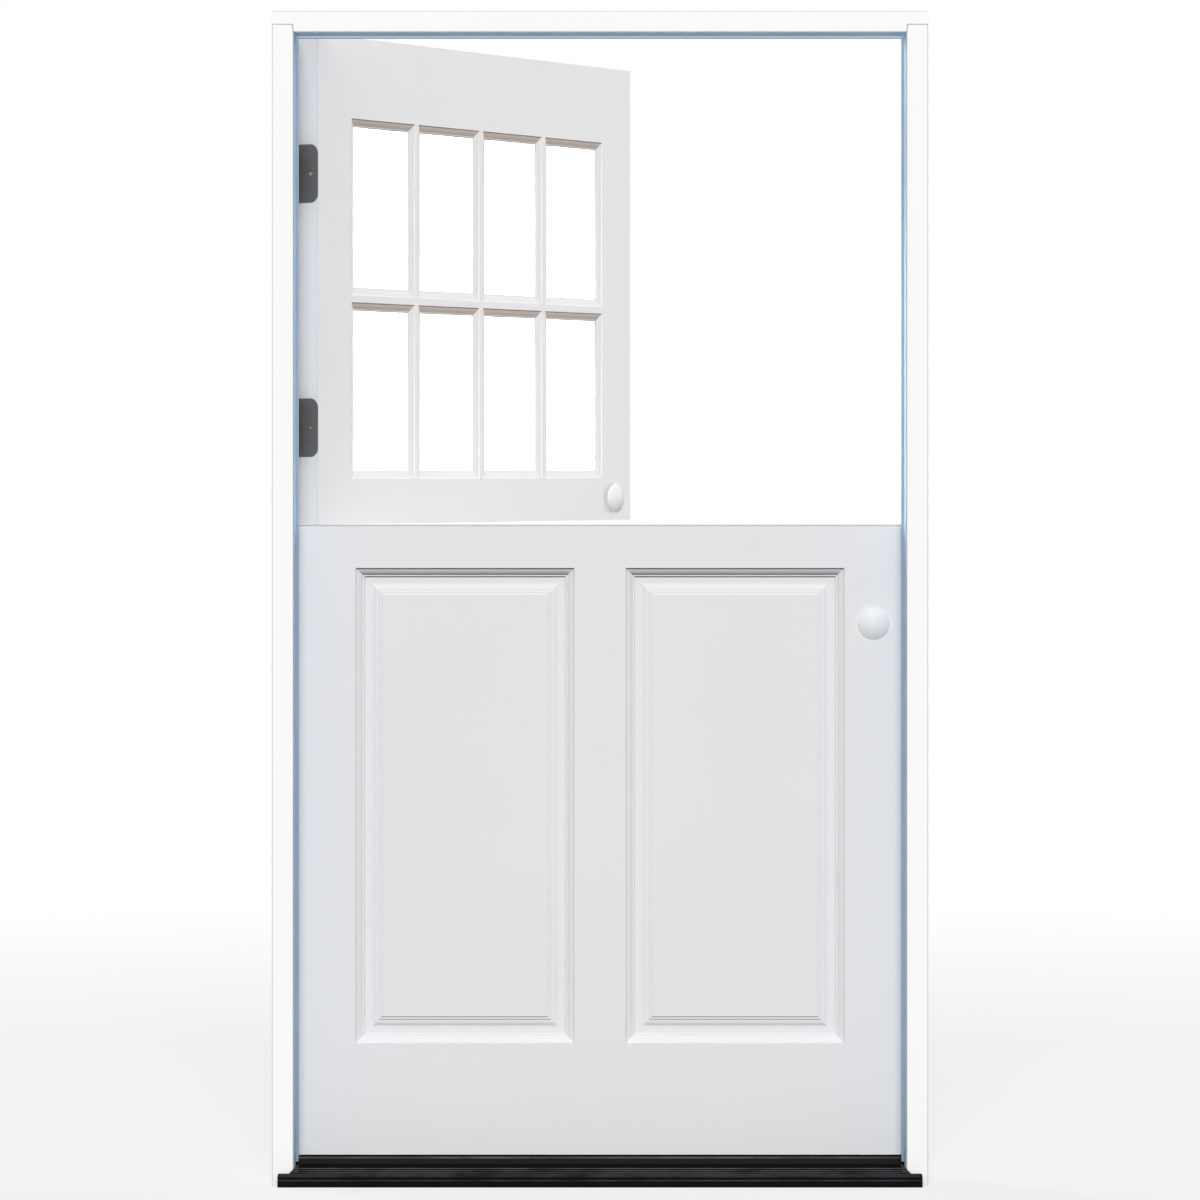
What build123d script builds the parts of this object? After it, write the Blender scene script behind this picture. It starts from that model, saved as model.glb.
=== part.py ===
from build123d import *
import os
from math import cos, radians, sin

os.makedirs("parts", exist_ok=True)

# Frame of the model: X to the right seen from outside, Y from outside to inside, Z up, in millimetres.
# Y is zero on the outer face of the closed leaves, and Z is zero under the sill.

# Leaves
leaf_width = 1066.8
leaf_thickness = 44.45
lower_leaf_height = 1086.8
upper_leaf_height = 851.2
opening_angle = 59.3

# Gaps and clearances
side_gap = 3.0
head_gap = 4.5
meeting_gap = 3.0
floor_gap = 2.5
fit_clearance = 0.2
soft_clearance = 0.3
running_clearance = 0.05
overrun = 2.0

# Jambs and head
jamb_depth = 115.85
jamb_thickness = 17.5
stop_rise = 10.4
seal_space = 9.0
jamb_edge_radius = 1.5

# Casing round the outside
casing_width = 37.5
casing_thickness = 25.4
casing_lap = 1.2
casing_head_height = 36.4
casing_edge_radius = 2.5
horn_height = 22.3
horn_slope = 1.6
casing_joint_gap = 0.8

# Compression seal round the stops
seal_reach = 5.2
seal_lining = 1.0
seal_bulb_width = 14.4
seal_bulb_radius = 3.0
seal_tongue_thickness = 2.0
seal_tongue_depth = 8.0
seal_tongue_inset = 1.6
seal_foot_height = 30.0

# Sill
sill_projection = 53.6
nose_inset = 11.4
nose_depth = 26.0
nose_height = 18.7
nose_groove_depth = 2.6
nose_groove_height = 4.4
nose_bead_height = 2.3
nose_toe = 1.4
nose_toe_radius = 1.0
deck_rise = 7.3
deck_thickness = 3.0
deck_rib_width = 4.0
deck_rib_height = 1.1
deck_rib_count = 4
deck_rib_shares = (0.12, 0.62)
cap_rise = 12.4
cap_lead = 8.0
cap_edge_radius = 4.0
corner_pad_width = 15.5
corner_pad_thickness = 6.0
corner_pad_lap = 7.0

# Lower leaf: stiles, rails, mullion and two raised panels
lower_stile_width = 110.5
lower_top_rail = 72.1
lower_bottom_rail = 192.4
mullion_width = 89.0
panel_sticking_width = 14.5
panel_quirk_run = 1.7
panel_quirk_depth = 4.0
panel_sticking_bulge = 0.9
panel_fillet_run = 2.0
panel_lip_wall = 2.5
panel_tongue_thickness = 14.45
panel_groove_depth = 10.0
panel_margin = 26.0
panel_bevel_run = 11.5
panel_bevel_rise = 3.6
panel_ledge_run = 1.8
panel_step_run = 2.4
panel_step_rise = 1.6
panel_shelf_run = 2.4
panel_lip_run = 2.2
panel_lip_rise = 1.6

# Upper leaf: stiles, rails and a glazed field with bars
upper_stile_width = 103.9
upper_top_rail = 141.2
upper_bottom_rail = 78.7
lite_columns = 4
lite_rows = 2
bar_flat = 12.4
lite_sticking_width = 13.0
lite_quirk_run = 1.6
lite_quirk_depth = 2.0
lite_sticking_bulge = 0.5
lite_fillet_run = 1.4
lite_lip_depth = 5.6
glass_recess = 6.5
glass_thickness = 6.0
glass_edge_clearance = 1.0
bead_lip = 1.0
mitre_gap = 0.2

# Seals under and over the lower leaf
sweep_width = 30.0
sweep_fin_count = 3
sweep_fin_width = 4.0
sweep_backing = 1.0
meeting_seal_width = 14.0
meeting_seal_radius = 1.0

# Butt hinges
hinge_height = 101.6
hinge_plate_thickness = 2.6
hinge_corner_radius = 15.9
hinge_setback = 2.0
knuckle_count = 5
knuckle_radius = 5.7
knuckle_standoff = 3.9
knuckle_gap = 0.3
hinge_pin_radius = 3.2
hinge_pin_head_radius = 5.2
hinge_pin_head_height = 4.0
end_hinge_inset = 242.0
meeting_hinge_inset = 167.8

# Countersunk screws
screw_head_radius = 4.2
screw_head_depth = 2.1
screw_shank_radius = 2.1
screw_length = 15.0
hinge_screw_rise = 34.0
hinge_centre_screw_inset = 17.0
hinge_outer_screw_inset = 29.0
strike_screw_rise = 21.0

# Turn knobs and their bolts
backset = 60.3
lower_knob_drop = 168.1
upper_knob_rise = 42.0
knob_radius = 28.0
knob_projection = 15.0
knob_dome_rise = 9.0
knob_rim = 1.6
knob_underside = 3.0
knob_neck_radius = 11.0
knob_neck_length = 1.0
knob_socket_depth = 8.0
rose_radius = 23.0
rose_thickness = 3.0
rose_edge = 1.0
rose_gap = 0.4
spindle_radius = 4.5
cross_bore_radius = 17.5
crank_radius = 9.5
crank_thickness = 4.0
crank_gap = 0.4
crank_throw = 7.0
crank_pin_radius = 1.6
crank_slot_clearance = 0.5
crank_half_turn = 45.0
bolt_width = 11.0
bolt_height = 18.0
bolt_head_length = 32.0
bolt_tail_thickness = 5.0
bolt_tail_height = 22.0
bolt_tail_end = 6.0
bolt_edge_radius = 1.0
case_outer_radius = 12.7
case_inner_radius = 11.7
face_plate_height = 57.2
face_plate_width = 25.4
face_plate_thickness = 3.0
strike_height = 57.2
strike_width = 28.6
strike_thickness = 2.0
strike_hole_clearance = 1.2
strike_pocket_depth = 13.0

# Places worked out from those sizes
half_leaf = leaf_width / 2
rabbet_x = half_leaf + side_gap
stop_x = rabbet_x - stop_rise
jamb_x = rabbet_x + jamb_thickness
casing_inner_x = stop_x - casing_lap
casing_outer_x = casing_inner_x + casing_width
nose_x = casing_outer_x - nose_inset
outer_y = leaf_thickness - jamb_depth
stop_y = -seal_space
casing_y = outer_y - casing_thickness
nose_y = outer_y - sill_projection
middle_y = leaf_thickness / 2
deck_z = nose_height + deck_rise
cap_top_z = deck_z + cap_rise
lower_z = cap_top_z + floor_gap
lower_top_z = lower_z + lower_leaf_height
upper_z = lower_top_z + meeting_gap
upper_top_z = upper_z + upper_leaf_height
rabbet_z = upper_top_z + head_gap
stop_z = rabbet_z - stop_rise
jamb_top_z = rabbet_z + jamb_thickness
casing_inner_z = stop_z - casing_lap
casing_top_z = casing_inner_z + casing_head_height
horn_z = casing_top_z - horn_height
hinge_x = -half_leaf - side_gap / 2
hinge_y = leaf_thickness + knuckle_standoff + knuckle_radius
knob_x = half_leaf - backset
lower_knob_z = lower_top_z - lower_knob_drop
upper_knob_z = upper_z + upper_knob_rise
lower_hinges = (lower_z + end_hinge_inset, lower_top_z - meeting_hinge_inset)
upper_hinges = (upper_z + meeting_hinge_inset, upper_top_z - end_hinge_inset)
upper_swing = Axis((hinge_x, hinge_y, 0), (0, 0, 1))
groove_front_y = middle_y - panel_tongue_thickness / 2
groove_back_y = middle_y + panel_tongue_thickness / 2
panel_sticking = (
    panel_sticking_width,
    panel_quirk_run,
    panel_quirk_depth,
    panel_sticking_bulge,
    panel_fillet_run,
    groove_front_y - panel_lip_wall,
)
lite_sticking = (
    lite_sticking_width,
    lite_quirk_run,
    lite_quirk_depth,
    lite_sticking_bulge,
    lite_fillet_run,
    lite_lip_depth,
)


def corners(left, right, low, high):
    """The four corners of a rectangle in a sketch."""
    return [(left, low), (right, low), (right, high), (left, high)]


def hand_in(piece, name, swung=False):
    """Labels a finished piece and writes it, turned with the open upper leaf if it rides on that leaf."""
    solid = piece.part.rotate(upper_swing, opening_angle) if swung else piece.part
    solid.label = name
    export_step(solid, f"parts/{name}.step")


def opening_edges(left, right, bottom, top):
    """The four edges of an opening: each has its start, its direction, the way inwards and its length."""
    return {
        "left": ((left, 0, bottom), (0, 0, 1), (1, 0, 0), top - bottom),
        "top": ((left, 0, top), (1, 0, 0), (0, 0, -1), right - left),
        "right": ((right, 0, top), (0, 0, -1), (-1, 0, 0), top - bottom),
        "bottom": ((right, 0, bottom), (-1, 0, 0), (0, 0, 1), right - left),
    }


def moulded_member(block, depth, edges, edge_depth, sticking, groove=None, cutters=()):
    """A stile, rail or bar: a plain block with a mitred, moulded lip along each opening edge it borders.

    The lip starts with a steep quirk, swells as an ovolo and ends in a flat fillet. With a groove the
    moulding is worked on both faces, and the groove between them takes a panel's tongue.
    """
    width, quirk_run, quirk_depth, bulge, fillet_run, lip_depth = sticking
    quirk = Vector(quirk_run, quirk_depth)
    fillet_start = Vector(width - fillet_run, lip_depth)
    chord = fillet_start - quirk
    swell = (quirk + fillet_start) / 2 + Vector(chord.Y, -chord.X).normalized() * bulge
    beyond = width + overrun
    faces = [(0, 1)] if groove is None else [(0, 1), (leaf_thickness, -1)]
    with BuildPart() as member:
        with BuildSketch(Plane.XZ):
            Polygon(corners(*block))
        extrude(amount=-depth)
        for start, along, inward, length in edges:
            with BuildSketch(Plane(start, x_dir=along, z_dir=(0, 1, 0))):
                Polygon((0, 0), (length, 0), (length - width, width), (width, width))
            extrude(amount=edge_depth)
            with BuildSketch(Plane(start, x_dir=inward, z_dir=along)):
                for face, way in faces:
                    with BuildLine():
                        Line((0, face), (quirk.X, face + way * quirk.Y))
                        ThreePointArc(
                            (quirk.X, face + way * quirk.Y),
                            (swell.X, face + way * swell.Y),
                            (fillet_start.X, face + way * fillet_start.Y),
                        )
                        Polyline(
                            (fillet_start.X, face + way * fillet_start.Y),
                            (beyond, face + way * lip_depth),
                            (beyond, face - way * overrun),
                            (0, face - way * overrun),
                            (0, face),
                        )
                    make_face()
                if groove is not None:
                    Polygon(corners(width - groove, beyond, groove_front_y, groove_back_y))
            extrude(amount=length, mode=Mode.SUBTRACT)
        for cutter in cutters:
            add(cutter, mode=Mode.SUBTRACT)
    return member


def screws(places, grow=0.0):
    """Countersunk screws at (face x, way into the timber, y, z), grown by a clearance to make their holes."""
    with BuildPart() as group:
        for face_x, into, y, z in places:
            with BuildSketch(Plane((face_x, y, z), x_dir=(into, 0, 0), z_dir=(0, 0, 1))):
                Polygon(
                    (0, 0),
                    (0, screw_head_radius + grow),
                    (screw_head_depth, screw_shank_radius + grow),
                    (screw_length + grow, screw_shank_radius + grow),
                    (screw_length + grow, 0),
                )
            revolve(axis=Axis((face_x, y, z), (1, 0, 0)))
    return group


def hinge_screw_places(face_x, into, centre_z):
    """The centre screw of a hinge plate, then the outer two."""
    return [
        (face_x, into, hinge_centre_screw_inset, centre_z),
        (face_x, into, hinge_outer_screw_inset, centre_z - hinge_screw_rise),
        (face_x, into, hinge_outer_screw_inset, centre_z + hinge_screw_rise),
    ]


def hinge_gain(face_x, into, centre_z):
    """The shallow recess that a hinge plate lies in, with the holes for its screws."""
    half = hinge_height / 2 + fit_clearance
    with BuildPart() as gain:
        with BuildSketch(Plane.YZ.offset(face_x)) as outline:
            front = hinge_setback - fit_clearance
            Polygon(corners(front, leaf_thickness + overrun, centre_z - half, centre_z + half))
            fillet(outline.vertices().group_by(Axis.X)[0], radius=hinge_corner_radius + fit_clearance)
        extrude(amount=into * hinge_plate_thickness)
        add(screws(hinge_screw_places(face_x, into, centre_z), running_clearance).part)
    return gain.part


def hinge_plate(face_x, into, centre_z, first_knuckle):
    """One plate of a butt hinge with every second knuckle, rounded corners and countersunk holes."""
    plate_end_y = hinge_y - knuckle_radius - knuckle_gap
    bottom = centre_z - hinge_height / 2
    pitch = hinge_height / knuckle_count
    with BuildPart() as plate:
        with BuildSketch(Plane.YZ.offset(face_x)) as outline:
            Polygon(corners(hinge_setback, plate_end_y, bottom, bottom + hinge_height))
            fillet(outline.vertices().group_by(Axis.X)[0], radius=hinge_corner_radius)
        extrude(amount=into * hinge_plate_thickness)
        for index in range(first_knuckle, knuckle_count, 2):
            low = bottom + index * pitch + knuckle_gap / 2
            with BuildSketch(Plane.YZ.offset(face_x)):
                Polygon(corners(plate_end_y - hinge_plate_thickness, hinge_y, low, low + pitch - knuckle_gap))
            extrude(amount=into * hinge_plate_thickness)
            with BuildSketch(Plane.XY.offset(low)):
                with Locations((hinge_x, hinge_y)):
                    Circle(knuckle_radius)
            extrude(amount=pitch - knuckle_gap)
        with BuildSketch(Plane.XY.offset(bottom)):
            with Locations((hinge_x, hinge_y)):
                Circle(hinge_pin_radius + running_clearance)
        extrude(amount=hinge_height, mode=Mode.SUBTRACT)
        add(screws(hinge_screw_places(face_x, into, centre_z), running_clearance).part, mode=Mode.SUBTRACT)
    return plate


def knob(face_y, outward, z):
    """A low domed turn knob on a short neck, with a blind socket for the spindle."""
    rim = knob_projection - knob_dome_rise
    back = rose_thickness + rose_gap
    sphere_radius = (knob_radius**2 + knob_dome_rise**2) / (2 * knob_dome_rise)
    shoulder = knob_radius / 2
    shoulder_height = knob_projection - sphere_radius + (sphere_radius**2 - shoulder**2) ** 0.5
    socket = spindle_radius + running_clearance
    plane = Plane((knob_x, face_y, z), x_dir=(1, 0, 0), z_dir=(0, 0, outward))
    with BuildPart() as turned:
        with BuildSketch(plane):
            with BuildLine():
                Polyline(
                    (0, knob_projection),
                    (0, back + knob_socket_depth),
                    (socket, back + knob_socket_depth),
                    (socket, back),
                    (knob_neck_radius, back),
                    (knob_neck_radius, back + knob_neck_length),
                    (knob_radius - knob_underside, rim - knob_rim),
                    (knob_radius, rim),
                )
                ThreePointArc((knob_radius, rim), (shoulder, shoulder_height), (0, knob_projection))
            make_face()
        revolve(axis=Axis((knob_x, face_y, z), (0, 1, 0)))
    return turned


def roses(z):
    """The two round cover plates that carry a spindle, one on each face of the leaf."""
    with BuildPart() as pair:
        for face_y, outward in ((0, -1), (leaf_thickness, 1)):
            with BuildSketch(Plane((knob_x, face_y, z), x_dir=(1, 0, 0), z_dir=(0, 0, outward))):
                bore = spindle_radius + running_clearance
                Polygon(
                    (bore, 0),
                    (rose_radius, 0),
                    (rose_radius, rose_thickness - rose_edge),
                    (rose_radius - rose_edge, rose_thickness),
                    (bore, rose_thickness),
                )
            revolve(axis=Axis((knob_x, face_y, z), (0, 1, 0)))
    return pair


def spindle(z):
    """The rod between the knobs, with a crank disc and a crank pin that drives the bolt."""
    reach = rose_thickness + rose_gap + knob_socket_depth - fit_clearance
    crank_y = middle_y + bolt_tail_thickness / 2 + crank_gap
    pin_x = knob_x - crank_throw * sin(radians(crank_half_turn))
    pin_z = z + crank_throw * cos(radians(crank_half_turn))
    with BuildPart() as rod:
        with BuildSketch(Plane.XZ.offset(reach)):
            with Locations((knob_x, z)):
                Circle(spindle_radius)
        extrude(amount=-(leaf_thickness + 2 * reach))
        with BuildSketch(Plane.XZ.offset(-crank_y)):
            with Locations((knob_x, z)):
                Circle(crank_radius)
        extrude(amount=-crank_thickness)
        with BuildSketch(Plane.XZ.offset(-crank_y)):
            with Locations((pin_x, pin_z)):
                Circle(crank_pin_radius)
        extrude(amount=bolt_tail_thickness + crank_gap)
    return rod


def bolt(z):
    """A sliding bolt: a head that meets the strike, and a tail slotted for the spindle and its crank pin."""
    front = half_leaf - fit_clearance
    head_start = front - bolt_head_length
    travel = 2 * crank_throw * sin(radians(crank_half_turn))
    window = spindle_radius + crank_slot_clearance
    slot = crank_pin_radius + crank_slot_clearance
    pin_x = knob_x - crank_throw * sin(radians(crank_half_turn))
    tail_start = knob_x - travel - window - bolt_tail_end
    with BuildPart() as slide:
        with BuildSketch(Plane.YZ.offset(head_start)):
            with Locations((middle_y, z)):
                Rectangle(bolt_width, bolt_height)
        extrude(amount=bolt_head_length)
        chamfer(slide.faces().sort_by(Axis.X)[-1].edges(), length=bolt_edge_radius)
        with BuildSketch(Plane.XZ.offset(bolt_tail_thickness / 2 - middle_y)):
            Polygon(corners(tail_start, head_start, z - bolt_tail_height / 2, z + bolt_tail_height / 2))
            Polygon(corners(knob_x - travel, knob_x, z - window, z + window), mode=Mode.SUBTRACT)
            with Locations((knob_x - travel, z), (knob_x, z)):
                Circle(window, mode=Mode.SUBTRACT)
            Polygon(corners(pin_x - slot, pin_x + slot, z, z + crank_throw + slot), mode=Mode.SUBTRACT)
        extrude(amount=-bolt_tail_thickness)
    return slide


def bolt_case(z):
    """A tube that guides the bolt, with a face plate let into the edge of the leaf."""
    hole_width = bolt_width + 2 * fit_clearance
    hole_height = bolt_height + 2 * fit_clearance
    tube_start = knob_x + cross_bore_radius
    with BuildPart() as case:
        with BuildSketch(Plane.YZ.offset(tube_start)):
            with Locations((middle_y, z)):
                Circle(case_outer_radius)
                Circle(case_inner_radius, mode=Mode.SUBTRACT)
        extrude(amount=half_leaf - face_plate_thickness - tube_start)
        with BuildSketch(Plane.YZ.offset(half_leaf - face_plate_thickness)):
            with Locations((middle_y, z)):
                Rectangle(face_plate_width, face_plate_height)
                Rectangle(hole_width, hole_height, mode=Mode.SUBTRACT)
        extrude(amount=face_plate_thickness)
    return case


def lock_bores(z):
    """What is cut from a lock stile: the cross bore, the edge bore and the recess of the face plate."""
    with BuildPart() as cut:
        with BuildSketch(Plane.XZ.offset(overrun)):
            with Locations((knob_x, z)):
                Circle(cross_bore_radius)
        extrude(amount=-(leaf_thickness + 2 * overrun))
        with BuildSketch(Plane.YZ.offset(knob_x)):
            with Locations((middle_y, z)):
                Circle(case_outer_radius + running_clearance)
        extrude(amount=backset)
        with BuildSketch(Plane.YZ.offset(knob_x - backset)):
            with Locations((middle_y, z)):
                Rectangle(bolt_tail_thickness + crank_gap, bolt_tail_height + crank_gap)
        extrude(amount=backset)
        with BuildSketch(Plane.YZ.offset(half_leaf - face_plate_thickness)):
            with Locations((middle_y, z)):
                Rectangle(face_plate_width + fit_clearance, face_plate_height + fit_clearance)
        extrude(amount=face_plate_thickness + overrun)
    return cut.part


def strike_plate(z):
    """The plate on the strike jamb that the bolt enters."""
    hole_width = bolt_width + 2 * strike_hole_clearance
    hole_height = bolt_height + 2 * strike_hole_clearance
    with BuildPart() as plate:
        with BuildSketch(Plane.YZ.offset(rabbet_x)):
            with Locations((middle_y, z)):
                Rectangle(strike_width, strike_height)
                Rectangle(hole_width, hole_height, mode=Mode.SUBTRACT)
        extrude(amount=strike_thickness)
        add(screws(strike_screw_places(z), running_clearance).part, mode=Mode.SUBTRACT)
    return plate


def strike_screw_places(z):
    """The two screws of a strike plate."""
    return [(rabbet_x, 1, middle_y, z + rise) for rise in (-strike_screw_rise, strike_screw_rise)]


def strike_recess(z):
    """What is cut from the strike jamb: the plate's recess, the pocket for the bolt and the screw holes."""
    hole_width = bolt_width + 2 * strike_hole_clearance
    hole_height = bolt_height + 2 * strike_hole_clearance
    with BuildPart() as cut:
        with BuildSketch(Plane.YZ.offset(rabbet_x - overrun)):
            with Locations((middle_y, z)):
                Rectangle(strike_width + fit_clearance, strike_height + fit_clearance)
        extrude(amount=strike_thickness + overrun)
        with BuildSketch(Plane.YZ.offset(rabbet_x)):
            with Locations((middle_y, z)):
                Rectangle(hole_width, hole_height)
        extrude(amount=strike_pocket_depth)
        add(screws(strike_screw_places(z), running_clearance).part)
    return cut.part


# Side jambs: a rabbet for the leaf, a stop outside it and a kerf for the seal
kerf_x = rabbet_x - seal_tongue_inset
all_hinges = lower_hinges + upper_hinges
hinge_jamb_cuts = [hinge_gain(-rabbet_x, -1, z) for z in all_hinges]
strike_jamb_cuts = [strike_recess(z) for z in (lower_knob_z, upper_knob_z)]
for side, name, cuts in ((-1, "hinge_jamb", hinge_jamb_cuts), (1, "strike_jamb", strike_jamb_cuts)):
    with BuildPart() as jamb:
        with BuildSketch(Plane.XY) as section:
            Polygon(
                (side * jamb_x, outer_y),
                (side * stop_x, outer_y),
                (side * stop_x, stop_y),
                (side * rabbet_x, stop_y),
                (side * rabbet_x, leaf_thickness),
                (side * jamb_x, leaf_thickness),
            )
            inner_corners = section.vertices().group_by(Axis.Y)[-1].sort_by(Axis.X)
            fillet(inner_corners[(1 - side) // 2], radius=jamb_edge_radius)
            Polygon(
                corners(
                    side * kerf_x,
                    side * (kerf_x - seal_tongue_thickness - 2 * fit_clearance),
                    stop_y - seal_tongue_depth - fit_clearance,
                    stop_y,
                ),
                mode=Mode.SUBTRACT,
            )
        extrude(amount=jamb_top_z)
        for cut in cuts:
            add(cut, mode=Mode.SUBTRACT)
    hand_in(jamb, name)

# Head jamb, notched at its ends round the stops of the side jambs
head_kerf_z = rabbet_z - seal_tongue_inset
with BuildPart() as head_jamb:
    with BuildSketch(Plane.YZ.offset(-rabbet_x)):
        Polygon(
            (outer_y, jamb_top_z),
            (outer_y, stop_z),
            (stop_y, stop_z),
            (stop_y, rabbet_z),
            (leaf_thickness, rabbet_z),
            (leaf_thickness, jamb_top_z),
        )
        Polygon(
            corners(
                stop_y - seal_tongue_depth - fit_clearance,
                stop_y,
                head_kerf_z - seal_tongue_thickness - 2 * fit_clearance,
                head_kerf_z,
            ),
            mode=Mode.SUBTRACT,
        )
    extrude(amount=2 * rabbet_x)
    for side in (-1, 1):
        with BuildSketch(Plane.XY.offset(stop_z - overrun)):
            Polygon(corners(side * stop_x, side * (rabbet_x + overrun), outer_y - overrun, stop_y))
        extrude(amount=jamb_top_z - stop_z + 2 * overrun, mode=Mode.SUBTRACT)
hand_in(head_jamb, "head_jamb")

# Casing legs and the casing head, whose horns sit over the legs with an open joint
leg_inner_z = casing_inner_z - casing_joint_gap
leg_top_z = horn_z - casing_joint_gap
for side, name in ((-1, "casing_hinge_leg"), (1, "casing_strike_leg")):
    with BuildPart() as leg:
        with BuildSketch(Plane.XZ.offset(-outer_y)):
            Polygon(
                (side * casing_outer_x, 0),
                (side * casing_inner_x, 0),
                (side * casing_inner_x, leg_inner_z),
                (side * (casing_inner_x + casing_joint_gap), leg_inner_z),
                (side * (casing_inner_x + casing_joint_gap + horn_slope), leg_top_z),
                (side * casing_outer_x, leg_top_z),
            )
        extrude(amount=casing_thickness)
        long_edges = leg.faces().sort_by(Axis.Y)[0].edges().filter_by(Axis.Z).sort_by(SortBy.LENGTH)[-2:]
        fillet(long_edges, radius=casing_edge_radius)
    hand_in(leg, name)

with BuildPart() as casing_head:
    with BuildSketch(Plane.XZ.offset(-outer_y)):
        Polygon(
            (-casing_outer_x, casing_top_z),
            (-casing_outer_x, horn_z),
            (-casing_inner_x - horn_slope, horn_z),
            (-casing_inner_x, casing_inner_z),
            (casing_inner_x, casing_inner_z),
            (casing_inner_x + horn_slope, horn_z),
            (casing_outer_x, horn_z),
            (casing_outer_x, casing_top_z),
        )
    extrude(amount=casing_thickness)
    front_edges = casing_head.faces().sort_by(Axis.Y)[0].edges().filter_by(Axis.X).sort_by(Axis.Z)
    fillet([front_edges[0], front_edges[-1]], radius=casing_edge_radius)
hand_in(casing_head, "casing_head")

# Compression seals: a soft bulb against the leaf, a thin lining on the stop and a tongue in the kerf
bulb_x = stop_x - seal_reach
tongue_x = kerf_x - fit_clearance
for side, name in ((-1, "seal_hinge_side"), (1, "seal_strike_side")):
    with BuildPart() as seal:
        with BuildSketch(Plane.XY.offset(seal_foot_height)) as section:
            Polygon(corners(side * bulb_x, side * (bulb_x + seal_bulb_width), stop_y, -soft_clearance))
            fillet(section.vertices(), radius=seal_bulb_radius)
            Polygon(corners(side * (stop_x - seal_lining), side * stop_x, outer_y, stop_y + seal_bulb_radius))
            Polygon(
                corners(
                    side * (tongue_x - seal_tongue_thickness),
                    side * tongue_x,
                    stop_y - seal_tongue_depth,
                    stop_y + seal_bulb_radius,
                )
            )
        extrude(amount=jamb_top_z - seal_foot_height)
        split(bisect_by=Plane((side * stop_x, 0, stop_z), z_dir=(side, 0, -1)), keep=Keep.TOP)
    hand_in(seal, name)

bulb_z = stop_z - seal_reach
tongue_z = head_kerf_z - fit_clearance
with BuildPart() as seal_head:
    with BuildSketch(Plane.YZ.offset(-jamb_x)) as section:
        Polygon(corners(stop_y, -soft_clearance, bulb_z, bulb_z + seal_bulb_width))
        fillet(section.vertices(), radius=seal_bulb_radius)
        Polygon(corners(outer_y, stop_y + seal_bulb_radius, stop_z - seal_lining, stop_z))
    extrude(amount=2 * jamb_x)
    for side in (-1, 1):
        split(bisect_by=Plane((side * stop_x, 0, stop_z), z_dir=(-side, 0, 1)), keep=Keep.TOP)
    with BuildSketch(Plane.YZ.offset(fit_clearance - stop_x)):
        Polygon(
            corners(
                stop_y - seal_tongue_depth,
                stop_y + seal_bulb_radius,
                tongue_z - seal_tongue_thickness,
                tongue_z,
            )
        )
    extrude(amount=2 * (stop_x - fit_clearance))
hand_in(seal_head, "seal_head")

# Sill core under the deck and the cap, fitted between the jambs
deck_x = casing_inner_x - fit_clearance
cap_x = rabbet_x - fit_clearance
cap_y = -cap_lead
nose_back_y = nose_y + nose_depth
deck_slope = deck_rise / (cap_y - nose_y)
core_nose_z = nose_height - deck_thickness + deck_slope * nose_depth
core_top_z = deck_z - deck_thickness
with BuildPart() as sill_core:
    with BuildSketch(Plane.YZ.offset(-cap_x)):
        Polygon(
            (nose_back_y, 0),
            (leaf_thickness, 0),
            (leaf_thickness, core_top_z),
            (cap_y, core_top_z),
            (nose_back_y, core_nose_z),
        )
    extrude(amount=2 * cap_x)
    for side in (-1, 1):
        with BuildSketch(Plane.XY.offset(-overrun)):
            Polygon(corners(side * deck_x, side * (cap_x + overrun), nose_y, stop_y + fit_clearance))
        extrude(amount=cap_top_z, mode=Mode.SUBTRACT)
hand_in(sill_core, "sill_core")

# Sill deck: a sloping ribbed sheet that ends in a grooved nosing, which runs on in front of the casing legs
groove_top_z = nose_height - nose_bead_height
groove_low_z = groove_top_z - nose_groove_height
with BuildPart() as sill_deck:
    with BuildSketch(Plane.YZ.offset(-nose_x)) as section:
        Polygon(
            (nose_y, 0),
            (nose_back_y, 0),
            (nose_back_y, core_nose_z),
            (cap_y, core_top_z),
            (cap_y, deck_z),
            (nose_y + nose_toe, nose_height),
            (nose_y + nose_toe, groove_top_z),
            (nose_y + nose_groove_depth, groove_top_z),
            (nose_y + nose_groove_depth, groove_low_z),
            (nose_y, groove_low_z),
        )
        front_corners = section.vertices().filter_by_position(Axis.X, nose_y, nose_y + nose_toe)
        fillet(front_corners.sort_by(Axis.Y)[1:], radius=nose_toe_radius)
        rib_first = (cap_y - nose_y) * deck_rib_shares[0]
        rib_last = (cap_y - nose_y) * deck_rib_shares[1]
        for index in range(deck_rib_count):
            rib_y = rib_first + (rib_last - rib_first) * index / (deck_rib_count - 1)
            rib_z = nose_height + deck_slope * rib_y
            Polygon(
                (nose_y + rib_y - deck_rib_width / 2, rib_z - deck_rib_height),
                (nose_y + rib_y + deck_rib_width / 2, rib_z - deck_rib_height),
                (nose_y + rib_y + deck_rib_width / 4, rib_z + deck_rib_height),
                (nose_y + rib_y - deck_rib_width / 4, rib_z + deck_rib_height),
            )
    extrude(amount=2 * nose_x)
    for side in (-1, 1):
        with BuildSketch(Plane.XY.offset(-overrun)):
            front = casing_y - fit_clearance
            Polygon(corners(side * deck_x, side * (nose_x + overrun), front, cap_y + overrun))
        extrude(amount=cap_top_z, mode=Mode.SUBTRACT)
hand_in(sill_deck, "sill_deck")

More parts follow.
